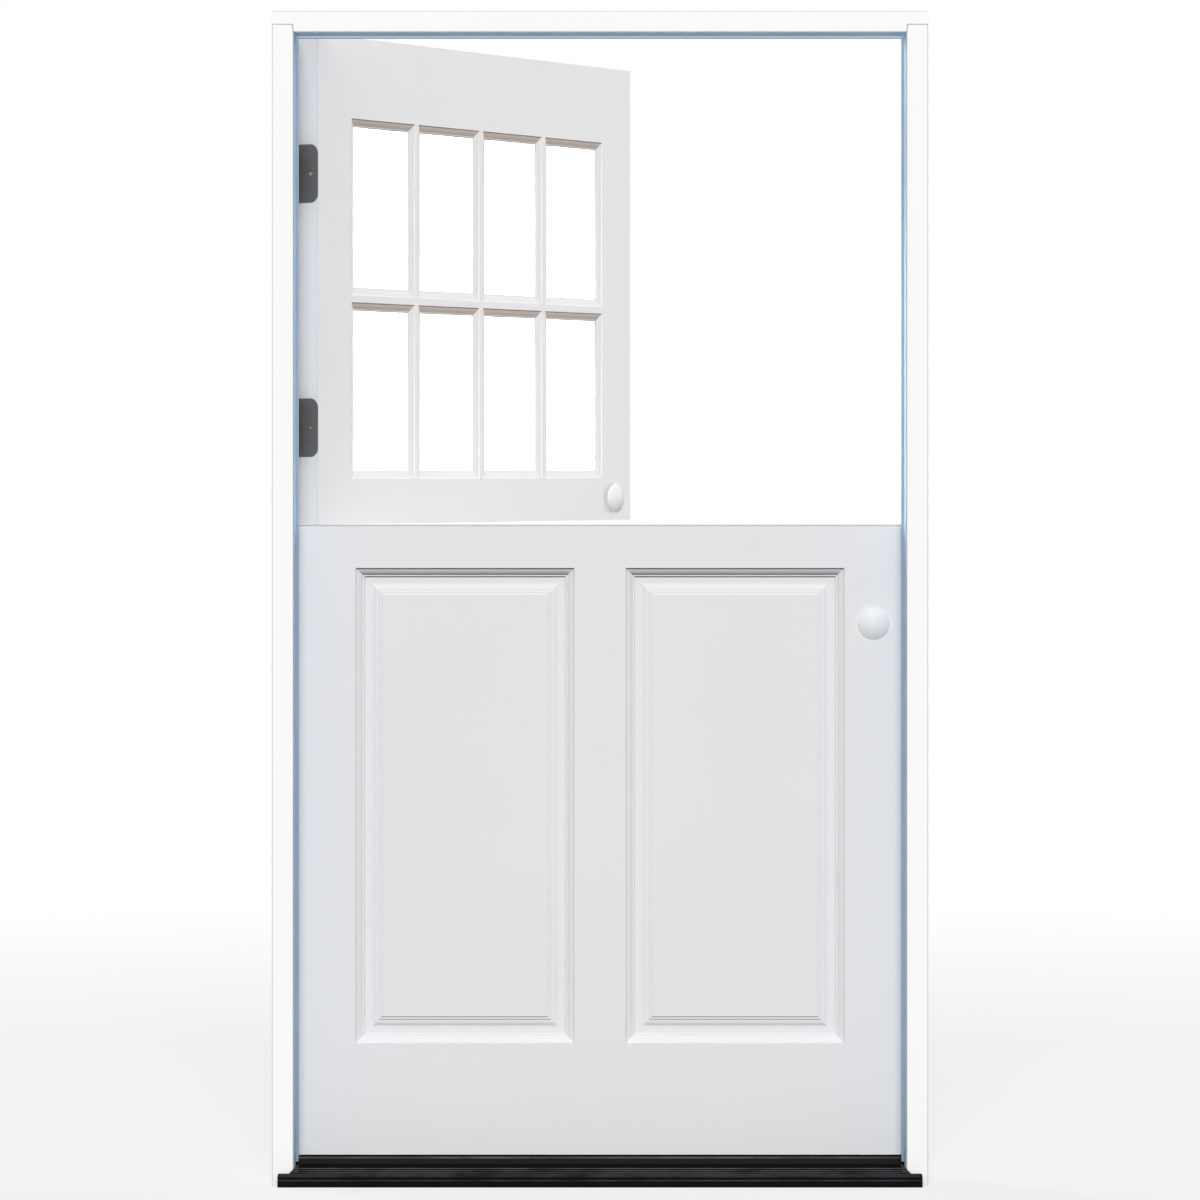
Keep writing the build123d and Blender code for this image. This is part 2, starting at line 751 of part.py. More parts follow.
# Threshold cap under the lower leaf
with BuildPart() as threshold_cap:
    with BuildSketch(Plane.YZ.offset(-cap_x)) as section:
        Polygon(corners(cap_y, leaf_thickness, core_top_z, cap_top_z))
        fillet(section.vertices().group_by(Axis.Y)[-1], radius=cap_edge_radius)
    extrude(amount=2 * cap_x)
    for side in (-1, 1):
        with BuildSketch(Plane.XY):
            Polygon(corners(side * (bulb_x - fit_clearance), side * (cap_x + overrun), cap_y - overrun, 0))
        extrude(amount=cap_top_z + overrun, mode=Mode.SUBTRACT)
hand_in(threshold_cap, "threshold_cap")

# Wedge pads at the feet of the casing legs
pad_base_z = nose_height + deck_slope * (casing_y - nose_y) + deck_rib_height
with BuildPart() as corner_pads:
    for side in (-1, 1):
        pad_x = casing_inner_x + corner_pad_lap
        with BuildSketch(Plane.XZ.offset(fit_clearance - casing_y)):
            Polygon(
                (side * pad_x, pad_base_z),
                (side * (pad_x - corner_pad_width), pad_base_z),
                (side * (pad_x - corner_pad_width), pad_base_z + corner_pad_width),
            )
        extrude(amount=corner_pad_thickness)
hand_in(corner_pads, "sill_corner_pads")

# Lower leaf: stiles, rails and mullion moulded on both faces, and two raised panels in their grooves
panel_left_x = -half_leaf + lower_stile_width
panel_mid_x = mullion_width / 2
panel_low_z = lower_z + lower_bottom_rail
panel_high_z = lower_top_z - lower_top_rail
left_opening = (panel_left_x, -panel_mid_x, panel_low_z, panel_high_z)
right_opening = (panel_mid_x, -panel_left_x, panel_low_z, panel_high_z)
left_edges = opening_edges(*left_opening)
right_edges = opening_edges(*right_opening)
lower_gains = [hinge_gain(-half_leaf, 1, z) for z in lower_hinges]
lower_members = {
    "lower_hinge_stile": (
        (-half_leaf, panel_left_x, lower_z, lower_top_z),
        [left_edges["left"]],
        lower_gains,
    ),
    "lower_lock_stile": (
        (-panel_left_x, half_leaf, lower_z, lower_top_z),
        [right_edges["right"]],
        [lock_bores(lower_knob_z)],
    ),
    "lower_top_rail": (
        (panel_left_x, -panel_left_x, panel_high_z, lower_top_z),
        [left_edges["top"], right_edges["top"]],
        [],
    ),
    "lower_bottom_rail": (
        (panel_left_x, -panel_left_x, lower_z, panel_low_z),
        [left_edges["bottom"], right_edges["bottom"]],
        [],
    ),
    "lower_mullion": (
        (-panel_mid_x, panel_mid_x, panel_low_z, panel_high_z),
        [left_edges["right"], right_edges["left"]],
        [],
    ),
}
for name, (block, edges, cutters) in lower_members.items():
    member = moulded_member(
        block, leaf_thickness, edges, leaf_thickness, panel_sticking, panel_groove_depth, cutters
    )
    hand_in(member, name)


def inset(opening, distance):
    """The corners of an opening drawn in by a distance on every side."""
    left, right, low, high = opening
    return corners(left + distance, right - distance, low + distance, high - distance)


# Raised panels: on each face a flat margin, an ogee, two small steps and the field
tongue_inset = panel_sticking_width - panel_groove_depth + fit_clearance
bevel_inset = panel_margin + panel_bevel_run
step_inset = bevel_inset + panel_ledge_run
shelf_inset = step_inset + panel_step_run
lip_inset = shelf_inset + panel_shelf_run
field_inset = lip_inset + panel_lip_run
bevel_depth = groove_front_y - panel_bevel_rise
step_depth = bevel_depth - panel_step_rise
field_depth = step_depth - panel_lip_rise
for name, opening in (("left_panel", left_opening), ("right_panel", right_opening)):
    with BuildPart() as panel:
        with BuildSketch(Plane.XZ.offset(-field_depth)):
            Polygon(inset(opening, tongue_inset))
        extrude(amount=2 * field_depth - leaf_thickness)
        for start, along, inward, length in opening_edges(*opening).values():
            with BuildSketch(Plane(start, x_dir=inward, z_dir=along)):
                for face, way in ((0, 1), (leaf_thickness, -1)):
                    foot = Vector(panel_margin, face + way * groove_front_y)
                    crest = Vector(bevel_inset, face + way * bevel_depth)
                    middle = (foot + crest) / 2
                    with BuildLine():
                        TangentArc(foot, middle, tangent=(1, 0))
                        TangentArc(crest, middle, tangent=(-1, 0))
                        Polyline(
                            crest,
                            (step_inset, face + way * bevel_depth),
                            (shelf_inset, face + way * step_depth),
                            (lip_inset, face + way * step_depth),
                            (field_inset, face + way * field_depth),
                            (field_inset, face - way * overrun),
                            (0, face - way * overrun),
                            (0, face + way * groove_front_y),
                            foot,
                        )
                    make_face()
            extrude(amount=length, mode=Mode.SUBTRACT)
    hand_in(panel, name)

# Finned sweep under the lower leaf
with BuildPart() as sweep_strip:
    with BuildSketch(Plane.YZ.offset(-half_leaf)):
        Polygon(
            corners(middle_y - sweep_width / 2, middle_y + sweep_width / 2, lower_z - sweep_backing, lower_z)
        )
        for index in range(sweep_fin_count):
            fin_y = middle_y + (sweep_width - sweep_fin_width) * (index / (sweep_fin_count - 1) - 1 / 2)
            Polygon(
                corners(
                    fin_y - sweep_fin_width / 2,
                    fin_y + sweep_fin_width / 2,
                    cap_top_z + soft_clearance,
                    lower_z - sweep_backing / 2,
                )
            )
    extrude(amount=leaf_width)
hand_in(sweep_strip, "bottom_sweep")

# Soft strip along the top of the lower leaf, which the closed upper leaf swings over
with BuildPart() as meeting_seal:
    with BuildSketch(Plane.YZ.offset(-half_leaf)) as section:
        Polygon(
            corners(
                middle_y - meeting_seal_width / 2,
                middle_y + meeting_seal_width / 2,
                lower_top_z,
                upper_z - soft_clearance,
            )
        )
        fillet(section.vertices().group_by(Axis.Y)[-1], radius=meeting_seal_radius)
    extrude(amount=leaf_width)
hand_in(meeting_seal, "meeting_seal")

# Upper leaf: stiles and rails, bars laid on the glass, beads inside
zone_left_x = -half_leaf + upper_stile_width
zone_low_z = upper_z + upper_bottom_rail
zone_high_z = upper_top_z - upper_top_rail
lite_width = (-2 * zone_left_x - (lite_columns - 1) * bar_flat) / lite_columns
lite_height = (zone_high_z - zone_low_z - (lite_rows - 1) * bar_flat) / lite_rows
lite_lefts = [zone_left_x + column * (lite_width + bar_flat) for column in range(lite_columns)]
lite_lows = [zone_low_z + row * (lite_height + bar_flat) for row in range(lite_rows)]
lites = [
    [opening_edges(left, left + lite_width, low, low + lite_height) for low in lite_lows]
    for left in lite_lefts
]
zone = (zone_left_x, -zone_left_x, zone_low_z, zone_high_z)
glass_back_y = glass_recess + glass_thickness
splay_y = glass_back_y + bead_lip
splay_run = leaf_thickness - splay_y
with BuildPart() as splay:
    with BuildSketch(Plane.XZ.offset(-splay_y)):
        Polygon(inset(zone, lite_sticking_width))
    with BuildSketch(Plane.XZ.offset(-leaf_thickness)):
        Polygon(inset(zone, lite_sticking_width - splay_run))
    loft()

upper_gains = [hinge_gain(-half_leaf, 1, z) for z in upper_hinges]
upper_members = {
    "upper_hinge_stile": (
        (-half_leaf, zone_left_x, upper_z, upper_top_z),
        [lite["left"] for lite in lites[0]],
        [splay.part] + upper_gains,
    ),
    "upper_lock_stile": (
        (-zone_left_x, half_leaf, upper_z, upper_top_z),
        [lite["right"] for lite in lites[-1]],
        [splay.part, lock_bores(upper_knob_z)],
    ),
    "upper_top_rail": (
        (zone_left_x, -zone_left_x, zone_high_z, upper_top_z),
        [column[-1]["top"] for column in lites],
        [splay.part],
    ),
    "upper_bottom_rail": (
        (zone_left_x, -zone_left_x, upper_z, zone_low_z),
        [column[0]["bottom"] for column in lites],
        [splay.part],
    ),
}
for name, (block, edges, cutters) in upper_members.items():
    member = moulded_member(block, leaf_thickness, edges, glass_recess, lite_sticking, None, cutters)
    hand_in(member, name, swung=True)

with BuildPart() as upright_bars:
    for column in range(lite_columns - 1):
        bar_left = lite_lefts[column] + lite_width
        bar_edges = [lite["right"] for lite in lites[column]] + [lite["left"] for lite in lites[column + 1]]
        bar_block = (bar_left, bar_left + bar_flat, zone_low_z, zone_high_z)
        add(moulded_member(bar_block, glass_recess, bar_edges, glass_recess, lite_sticking).part)
hand_in(upright_bars, "glazing_bars_upright", swung=True)

with BuildPart() as cross_bars:
    for left, column in zip(lite_lefts, lites):
        for row in range(lite_rows - 1):
            bar_low = lite_lows[row] + lite_height
            bar_block = (left, left + lite_width, bar_low, bar_low + bar_flat)
            bar_edges = [column[row]["top"], column[row + 1]["bottom"]]
            add(moulded_member(bar_block, glass_recess, bar_edges, glass_recess, lite_sticking).part)
hand_in(cross_bars, "glazing_bars_cross", swung=True)

with BuildPart() as glass:
    with BuildSketch(Plane.XZ.offset(-glass_recess)):
        Polygon(inset(zone, glass_edge_clearance))
    extrude(amount=-glass_thickness)
hand_in(glass, "glass_pane", swung=True)

with BuildPart() as beads:
    for start, along, inward, length in opening_edges(*zone).values():
        with BuildSketch(Plane(start, x_dir=along, z_dir=(0, 1, 0)).offset(glass_back_y)):
            Polygon(
                (mitre_gap, 0),
                (length - mitre_gap, 0),
                (length - mitre_gap - lite_sticking_width, lite_sticking_width),
                (mitre_gap + lite_sticking_width, lite_sticking_width),
            )
        extrude(amount=splay_run + bead_lip)
    add(splay.part, mode=Mode.SUBTRACT)
hand_in(beads, "glazing_beads", swung=True)

# Hinges: jamb plates, leaf plates, pins and screws
hinge_names = ("lower_bottom", "lower_top", "upper_bottom", "upper_top")
for name, z in zip(hinge_names, all_hinges):
    hand_in(hinge_plate(-rabbet_x, -1, z, 0), f"hinge_jamb_plate_{name}")
    hand_in(hinge_plate(-half_leaf, 1, z, 1), f"hinge_leaf_plate_{name}", swung=z in upper_hinges)

with BuildPart() as hinge_pins:
    for z in all_hinges:
        with BuildSketch(Plane.XY.offset(z - hinge_height / 2)):
            with Locations((hinge_x, hinge_y)):
                Circle(hinge_pin_radius)
        extrude(amount=hinge_height)
        with BuildSketch(Plane.XY.offset(z + hinge_height / 2)):
            with Locations((hinge_x, hinge_y)):
                Circle(hinge_pin_head_radius)
        extrude(amount=hinge_pin_head_height)
        chamfer(hinge_pins.edges(Select.LAST).group_by(Axis.Z)[-1], length=hinge_pin_head_height / 2)
hand_in(hinge_pins, "hinge_pins")

jamb_places = [place for z in all_hinges for place in hinge_screw_places(-rabbet_x, -1, z)]
hand_in(screws(jamb_places), "hinge_jamb_screws")
lower_places = [place for z in lower_hinges for place in hinge_screw_places(-half_leaf, 1, z)]
hand_in(screws(lower_places), "hinge_lower_leaf_screws")
upper_places = [hinge_screw_places(-half_leaf, 1, z) for z in upper_hinges]
hand_in(screws([places[0] for places in upper_places]), "hinge_upper_centre_screws", swung=True)
hand_in(screws([place for places in upper_places for place in places[1:]]), "hinge_upper_screws", swung=True)

# Locks: one set for each leaf, and the strike plates on the jamb
for leaf, z, swung in (("lower", lower_knob_z, False), ("upper", upper_knob_z, True)):
    hand_in(knob(0, -1, z), f"{leaf}_outer_knob", swung)
    hand_in(knob(leaf_thickness, 1, z), f"{leaf}_inner_knob", swung)
    hand_in(roses(z), f"{leaf}_roses", swung)
    hand_in(spindle(z), f"{leaf}_spindle", swung)
    hand_in(bolt(z), f"{leaf}_bolt", swung)
    hand_in(bolt_case(z), f"{leaf}_bolt_case", swung)
    hand_in(strike_plate(z), f"{leaf}_strike_plate")
strike_places = [place for z in (lower_knob_z, upper_knob_z) for place in strike_screw_places(z)]
hand_in(screws(strike_places), "strike_screws")
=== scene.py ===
"""Dresses the dutch stable door: finishes for its solids, glazing and fixing details, studio and camera."""

import functools
import logging
import math
from dataclasses import dataclass
from enum import Enum
from typing import Protocol

import bmesh
import bpy
import numpy as np
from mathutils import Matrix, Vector


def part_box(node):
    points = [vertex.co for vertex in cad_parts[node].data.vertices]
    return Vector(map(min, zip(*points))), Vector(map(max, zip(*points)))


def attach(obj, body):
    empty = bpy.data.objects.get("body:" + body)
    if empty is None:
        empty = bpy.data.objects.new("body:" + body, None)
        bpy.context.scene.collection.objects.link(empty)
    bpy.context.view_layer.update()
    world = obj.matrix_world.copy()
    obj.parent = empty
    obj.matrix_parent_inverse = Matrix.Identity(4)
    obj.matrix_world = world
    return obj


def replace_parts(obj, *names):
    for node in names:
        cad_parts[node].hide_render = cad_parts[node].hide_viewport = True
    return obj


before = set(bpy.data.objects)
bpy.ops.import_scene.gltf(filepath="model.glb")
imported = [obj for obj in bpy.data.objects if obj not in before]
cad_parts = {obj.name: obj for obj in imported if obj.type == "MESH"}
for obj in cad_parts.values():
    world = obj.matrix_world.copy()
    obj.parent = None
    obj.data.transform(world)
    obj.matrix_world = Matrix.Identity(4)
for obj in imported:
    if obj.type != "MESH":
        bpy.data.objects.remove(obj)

log = logging.getLogger("stable_door")
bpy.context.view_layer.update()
Colour = tuple[float, float, float]
Socket = bpy.types.NodeSocket

# The upper leaf stands open by this angle at rest, about the hinge line
OPEN_ANGLE = math.radians(59.3)
HINGE_LINE = np.array((-0.5349, 0.05405, 0.0))

# Points nearer than this are one point, and edges sharper than this angle stay sharp
WELD = 1e-6
SHARP_ANGLE = math.radians(40.0)

# A pattern at its own scale, and the span in which most values of a noise pattern lie
PLAIN = (1.0, 1.0, 1.0)
MIDDLE = {"start": 0.3, "end": 0.7}

# Points over the face of a bead of filler or sealant
BEAD_POINTS = 7


def srgb(red: int, green: int, blue: int) -> Colour:
    """Turns a colour of 0 to 255 per channel into linear light.

    Args:
        red: Red as displayed.
        green: Green as displayed.
        blue: Blue as displayed.

    Returns:
        The three linear values.
    """
    shares = np.array((red, green, blue)) / 255
    linear = np.where(shares <= 0.04045, shares / 12.92, ((shares + 0.055) / 1.055) ** 2.4)
    return tuple(float(value) for value in linear)


class Grain(Enum):
    """The way that brush marks and grain run on a piece, as scale factors of the pattern along X, Y and Z."""

    UPRIGHT = (1.0, 1.0, 0.03)
    ACROSS = (0.03, 1.0, 1.0)
    NONE = PLAIN


class NodeSheet:
    """The node tree of a material or world, with short ways to add the nodes that the finishes share."""

    def __init__(self, owner: bpy.types.Material | bpy.types.World) -> None:
        """Starts a tree with only its output.

        Args:
            owner: The material or world.
        """
        owner.use_nodes = True
        self.tree = owner.node_tree
        self.tree.nodes.clear()
        kind = "World" if isinstance(owner, bpy.types.World) else "Material"
        self.output = self.tree.nodes.new(f"ShaderNodeOutput{kind}")

    def add(self, kind: str, **settings: object) -> bpy.types.Node:
        """Adds a node.

        Args:
            kind: Blender's name of the node type.
            **settings: Properties to set on it.

        Returns:
            The new node.
        """
        node = self.tree.nodes.new(kind)
        for key, value in settings.items():
            setattr(node, key, value)
        return node

    def feed(self, target: Socket, source: Socket | float | Colour) -> None:
        """Links a socket to another, or sets its value.

        Args:
            target: Input socket.
            source: Output socket, or a constant.
        """
        if isinstance(source, Socket):
            self.tree.links.new(source, target)
        elif isinstance(source, tuple) and target.type == "RGBA":
            target.default_value = (*source, 1.0)
        else:
            target.default_value = source

    def place(self, scale: tuple[float, float, float], turn: float = 0.0) -> Socket:
        """Gives object coordinates, turned about Z and scaled.

        Args:
            scale: Scale along X, Y and Z.
            turn: Turn about Z in radians, undone before scaling.

        Returns:
            The coordinates.
        """
        coordinates = self.add("ShaderNodeTexCoord").outputs["Object"]
        turned = self.add("ShaderNodeMapping", vector_type="POINT")
        turned.inputs["Rotation"].default_value = (0.0, 0.0, -turn)
        self.feed(turned.inputs["Vector"], coordinates)
        scaled = self.add("ShaderNodeVectorMath", operation="MULTIPLY")
        self.feed(scaled.inputs[0], turned.outputs["Vector"])
        scaled.inputs[1].default_value = scale
        return scaled.outputs["Vector"]

    def noise(self, vector: Socket, scale: float, detail: float = 3.0, roughness: float = 0.5) -> Socket:
        """Adds a noise pattern.

        Args:
            vector: Where it is read.
            scale: Features per unit of the vector.
            detail: Number of finer layers.
            roughness: Strength of the finer layers.

        Returns:
            Its value from 0 to 1.
        """
        node = self.add("ShaderNodeTexNoise")
        self.feed(node.inputs["Vector"], vector)
        node.inputs["Scale"].default_value = scale
        node.inputs["Detail"].default_value = detail
        node.inputs["Roughness"].default_value = roughness
        return node.outputs["Fac"]

    def spread(self, value: Socket, low: float, high: float, start: float = 0.0, end: float = 1.0) -> Socket:
        """Maps a value from start..end to low..high, clamped.

        Args:
            value: Value to map.
            low: Result at the start.
            high: Result at the end.
            start: Lowest value taken in.
            end: Highest value taken in.

        Returns:
            The mapped value.
        """
        node = self.add("ShaderNodeMapRange")
        inputs = {"Value": value, "From Min": start, "From Max": end, "To Min": low, "To Max": high}
        for key, source in inputs.items():
            self.feed(node.inputs[key], source)
        return node.outputs["Result"]

    def combine(self, operation: str, first: Socket | float, second: Socket | float) -> Socket:
        """Does arithmetic on two values.

        Args:
            operation: Blender's name of the operation.
            first: First value.
            second: Second value.

        Returns:
            The result.
        """
        node = self.add("ShaderNodeMath", operation=operation)
        self.feed(node.inputs[0], first)
        self.feed(node.inputs[1], second)
        return node.outputs["Value"]

    def blend(self, share: Socket | float, first: Socket | Colour, second: Socket | Colour) -> Socket:
        """Mixes two colours.

        Args:
            share: 0 for the first, 1 for the second.
            first: First colour.
            second: Second colour.

        Returns:
            The mixed colour.
        """
        node = self.add("ShaderNodeMix", data_type="RGBA")
        self.feed(node.inputs["Factor"], share)
        colours = [socket for socket in node.inputs if socket.type == "RGBA"]
        self.feed(colours[0], first)
        self.feed(colours[1], second)
        return next(socket for socket in node.outputs if socket.type == "RGBA")

    def bump(
        self, height: Socket, depth: float, strength: float = 1.0, normal: Socket | None = None
    ) -> Socket:
        """Turns a height into a bumped normal.

        Args:
            height: Height from 0 to 1.
            depth: Depth of a full step, in metres.
            strength: Strength of the effect.
            normal: Normal to start from.

        Returns:
            The bumped normal.
        """
        node = self.add("ShaderNodeBump")
        node.inputs["Strength"].default_value = strength
        node.inputs["Distance"].default_value = depth
        self.feed(node.inputs["Height"], height)
        if normal is not None:
            self.feed(node.inputs["Normal"], normal)
        return node.outputs["Normal"]

    def soft_edges(self, radius: float) -> Socket:
        """Rounds the normals near edges.

        Args:
            radius: Radius of the rounding in metres.

        Returns:
            The rounded normal.
        """
        node = self.add("ShaderNodeBevel", samples=4)
        node.inputs["Radius"].default_value = radius
        return node.outputs["Normal"]

    def crevice(self, distance: float) -> Socket:
        """Measures how enclosed the surface is.

        Args:
            distance: How far to look, in metres.

        Returns:
            0 in a closed corner, 1 in the open.
        """
        node = self.add("ShaderNodeAmbientOcclusion", samples=6, only_local=False)
        node.inputs["Distance"].default_value = distance
        return node.outputs["AO"]

    def lean(self, normal: Socket) -> Socket:
        """Measures how far a surface faces up or down.

        Args:
            normal: Normal of the surface.

        Returns:
            1 where it faces straight up, 0 where it is upright, -1 where it faces straight down.
        """
        split = self.add("ShaderNodeSeparateXYZ")
        self.feed(split.inputs["Vector"], normal)
        return split.outputs["Z"]

    def arris(self, normal: Socket) -> Socket:
        """Finds rounded edges: where the normal lies between the axes.

        Args:
            normal: Normal of the surface.

        Returns:
            1 on a flat face across an axis, down to 0.58 at a rounded corner.
        """
        split = self.add("ShaderNodeSeparateXYZ")
        self.feed(split.inputs["Vector"], normal)
        sizes = [self.add("ShaderNodeMath", operation="ABSOLUTE") for _ in range(3)]
        for node, axis in zip(sizes, "XYZ"):
            self.feed(node.inputs[0], split.outputs[axis])
        first, second, third = (node.outputs["Value"] for node in sizes)
        return self.combine("MAXIMUM", self.combine("MAXIMUM", first, second), third)

    def surface(
        self, colour: Socket | Colour, roughness: Socket | float, normal: Socket, **constants: float
    ) -> None:
        """Ends the tree in a principled shader.

        Args:
            colour: Base colour.
            roughness: Roughness.
            normal: Normal.
            **constants: Other inputs by name, with underscores for spaces.
        """
        shader = self.add("ShaderNodeBsdfPrincipled")
        self.feed(shader.inputs["Base Color"], colour)
        self.feed(shader.inputs["Roughness"], roughness)
        self.feed(shader.inputs["Normal"], normal)
        for key, value in constants.items():
            shader.inputs[key.replace("_", " ")].default_value = value
        self.feed(self.output.inputs["Surface"], shader.outputs["BSDF"])


@dataclass(frozen=True)
class Paint:
    """Sprayed satin paint on timber, with a hint of grain and slow tone drift.

    Its shade colour is painted shade: it darkens corners and crevices, down-facing quirks and undersides of
    mouldings, and rounded edges, where real light falls less.
    """

    name: str
    colour: Colour
    shade: Colour
    grain: Grain
    turn: float = 0.0
    roughness: float = 0.45
    gloss: float = 0.2
    edge_radius: float = 0.0012
    # Share of painted shade in corners and crevices
    corner_shade: float = 0.6
    crevice_reach: float = 0.004
    # Share of painted shade on down-facing surfaces, and below it on steep down-facing quirks
    dust: float = 0.3
    shade_leans: tuple[float, float] = (-0.45, -0.95)
    quirk_shade: float = 0.0
    quirk_leans: tuple[float, float] = (-0.5, -0.75)
    # Share of painted shade on rounded edges, which draws a dark outline
    edge_shade: float = 0.0

    def painted_shade(self, sheet: NodeSheet, rounded: Socket) -> Socket:
        """Finds how much painted shade shows: the most that a corner, a down-facing surface or a rounded edge
        gives.

        Args:
            sheet: Node tree to work in.
            rounded: Normal with softened edges.

        Returns:
            The share of the shade.
        """
        # Each layer paints shade where real light falls less: crevices, down-facing faces, rounded edges
        layers: list[Socket] = []
        if self.corner_shade:
            crevice = sheet.crevice(self.crevice_reach)
            layers.append(sheet.spread(crevice, self.corner_shade, 0.0, start=0.1, end=0.62))
        for dust, (first, thickest) in ((self.dust, self.shade_leans), (self.quirk_shade, self.quirk_leans)):
            if dust:
                layers.append(sheet.spread(sheet.lean(rounded), dust, 0.0, start=thickest, end=first))
        if self.edge_shade:
            flat = sheet.add("ShaderNodeNewGeometry").outputs["Normal"]
            layers.append(sheet.spread(sheet.arris(flat), self.edge_shade, 0.0, start=0.8, end=0.98))
        return functools.reduce(functools.partial(sheet.combine, "MAXIMUM"), layers)

    def material(self) -> bpy.types.Material:
        """Builds the paint's nodes.

        Returns:
            The material.
        """
        material = bpy.data.materials.new(self.name)
        sheet = NodeSheet(material)
        plain = sheet.place(PLAIN)
        along = sheet.place(self.grain.value, self.turn)
        drift = sheet.noise(plain, scale=2.4, detail=2.0)
        marks = sheet.noise(along, scale=420.0, detail=4.0, roughness=0.6)
        peel = sheet.noise(plain, scale=900.0, detail=2.0)
        rounded = sheet.soft_edges(self.edge_radius)
        drift_tone = sheet.spread(drift, low=0.0, high=0.015, **MIDDLE)
        marks_tone = sheet.spread(marks, low=0.0, high=0.008, start=0.35, end=0.65)
        tone = sheet.combine("ADD", drift_tone, marks_tone)
        # Drift and marks are the paint's own tone; the rest of the share is painted shade
        share = sheet.combine("ADD", tone, self.painted_shade(sheet, rounded))
        colour = sheet.blend(share, self.colour, self.shade)
        roughness = sheet.spread(marks, self.roughness - 0.05, self.roughness + 0.07, **MIDDLE)
        normal = sheet.bump(peel, depth=0.00003, strength=0.2, normal=rounded)
        normal = sheet.bump(marks, depth=0.00004, strength=0.03, normal=normal)
        sheet.surface(colour, roughness, normal, Specular_IOR_Level=self.gloss)
        return material


@dataclass(frozen=True)
class SealSkin:
    """Soft blue-grey seal: a pebbled foam skin whose tone wanders between two blues."""

    name: str
    colour: Colour
    pale: Colour

    def material(self) -> bpy.types.Material:
        """Builds the seal's nodes.

        Returns:
            The material.
        """
        material = bpy.data.materials.new(self.name)
        sheet = NodeSheet(material)
        plain = sheet.place(PLAIN)
        pebbles = sheet.noise(plain, scale=1400.0, detail=2.0)
        drift = sheet.noise(plain, scale=9.0)
        stretch = sheet.spread(drift, low=0.0, high=0.5, start=0.3, end=0.75)
        colour = sheet.blend(stretch, self.colour, self.pale)
        roughness = sheet.spread(pebbles, low=0.5, high=0.7)
        rounded = sheet.soft_edges(radius=0.0006)
        normal = sheet.bump(pebbles, depth=0.00008, strength=0.6, normal=rounded)
        sheet.surface(colour, roughness, normal, Specular_IOR_Level=0.3)
        return material


@dataclass(frozen=True)
class DarkMetal:
    """Dark anodised or painted metal: drawn lines, smudges, edges painted brighter as wear and highlight, and
    shoulders painted brighter as highlight.
    """

    name: str
    colour: Colour
    worn_and_highlight: Colour
    grain: Grain
    roughness: float = 0.38
    metallic: float = 0.0
    gloss: float = 0.5
    edge_radius: float = 0.0006
    edge_wear_and_highlight: float = 0.55
    shoulder_highlight: float = 0.0

    def material(self) -> bpy.types.Material:
        """Builds the metal's nodes.

        Returns:
            The material.
        """
        material = bpy.data.materials.new(self.name)
        sheet = NodeSheet(material)
        plain = sheet.place(PLAIN)
        along = sheet.place(self.grain.value)
        drawn = sheet.noise(along, scale=1500.0, roughness=0.65)
        smudge = sheet.noise(plain, scale=14.0, detail=4.0)
        rounded = sheet.soft_edges(self.edge_radius)
        flat = sheet.add("ShaderNodeNewGeometry").outputs["Normal"]
        across = sheet.add("ShaderNodeVectorMath", operation="DOT_PRODUCT")
        sheet.feed(across.inputs[0], rounded)
        sheet.feed(across.inputs[1], flat)
        # Rounded edges painted brighter: wear and painted highlight
        rub_and_highlight = sheet.spread(across.outputs["Value"], self.edge_wear_and_highlight, 0.0, start=0.8, end=0.98)
        # Shoulders that turn from front to top are painted brighter as highlight lines
        if self.shoulder_highlight:
            lean = sheet.lean(flat)
            rising = sheet.spread(lean, 0.0, self.shoulder_highlight, start=0.1, end=0.35)
            level = sheet.spread(lean, low=1.0, high=0.0, start=0.8, end=0.97)
            rub_and_highlight = sheet.combine("MAXIMUM", rub_and_highlight, sheet.combine("MULTIPLY", rising, level))
        patches = sheet.spread(smudge, low=0.35, high=1.0, start=0.35, end=0.6)
        lines = sheet.spread(drawn, low=0.0, high=0.03, start=0.3, end=0.8)
        tone = sheet.combine("ADD", sheet.combine("MULTIPLY", rub_and_highlight, patches), lines)
        colour = sheet.blend(tone, self.colour, self.worn_and_highlight)
        roughness = sheet.spread(smudge, self.roughness - 0.08, self.roughness + 0.14, **MIDDLE)
        normal = sheet.bump(drawn, depth=0.00002, strength=0.4, normal=rounded)
        sheet.surface(colour, roughness, normal, Metallic=self.metallic, Specular_IOR_Level=self.gloss)
        return material


@dataclass(frozen=True)
class BrightMetal:
    """Brushed steel or brass: fine drawn lines, with tone and gloss that wander a little."""

    name: str
    colour: Colour
    dull: Colour
    grain: Grain
    roughness: float = 0.3

    def material(self) -> bpy.types.Material:
        """Builds the metal's nodes.

        Returns:
            The material.
        """
        material = bpy.data.materials.new(self.name)
        sheet = NodeSheet(material)
        plain = sheet.place(PLAIN)
        along = sheet.place(self.grain.value)
        drawn = sheet.noise(along, scale=2200.0, roughness=0.7)
        cloud = sheet.noise(plain, scale=60.0)
        dulled = sheet.spread(cloud, low=0.0, high=0.7, start=0.35, end=0.7)
        colour = sheet.blend(dulled, self.colour, self.dull)
        roughness = sheet.spread(drawn, self.roughness - 0.08, self.roughness + 0.12, **MIDDLE)
        rounded = sheet.soft_edges(radius=0.0005)
        normal = sheet.bump(drawn, depth=0.00002, strength=0.5, normal=rounded)
        sheet.surface(colour, roughness, normal, Metallic=1.0)
        return material


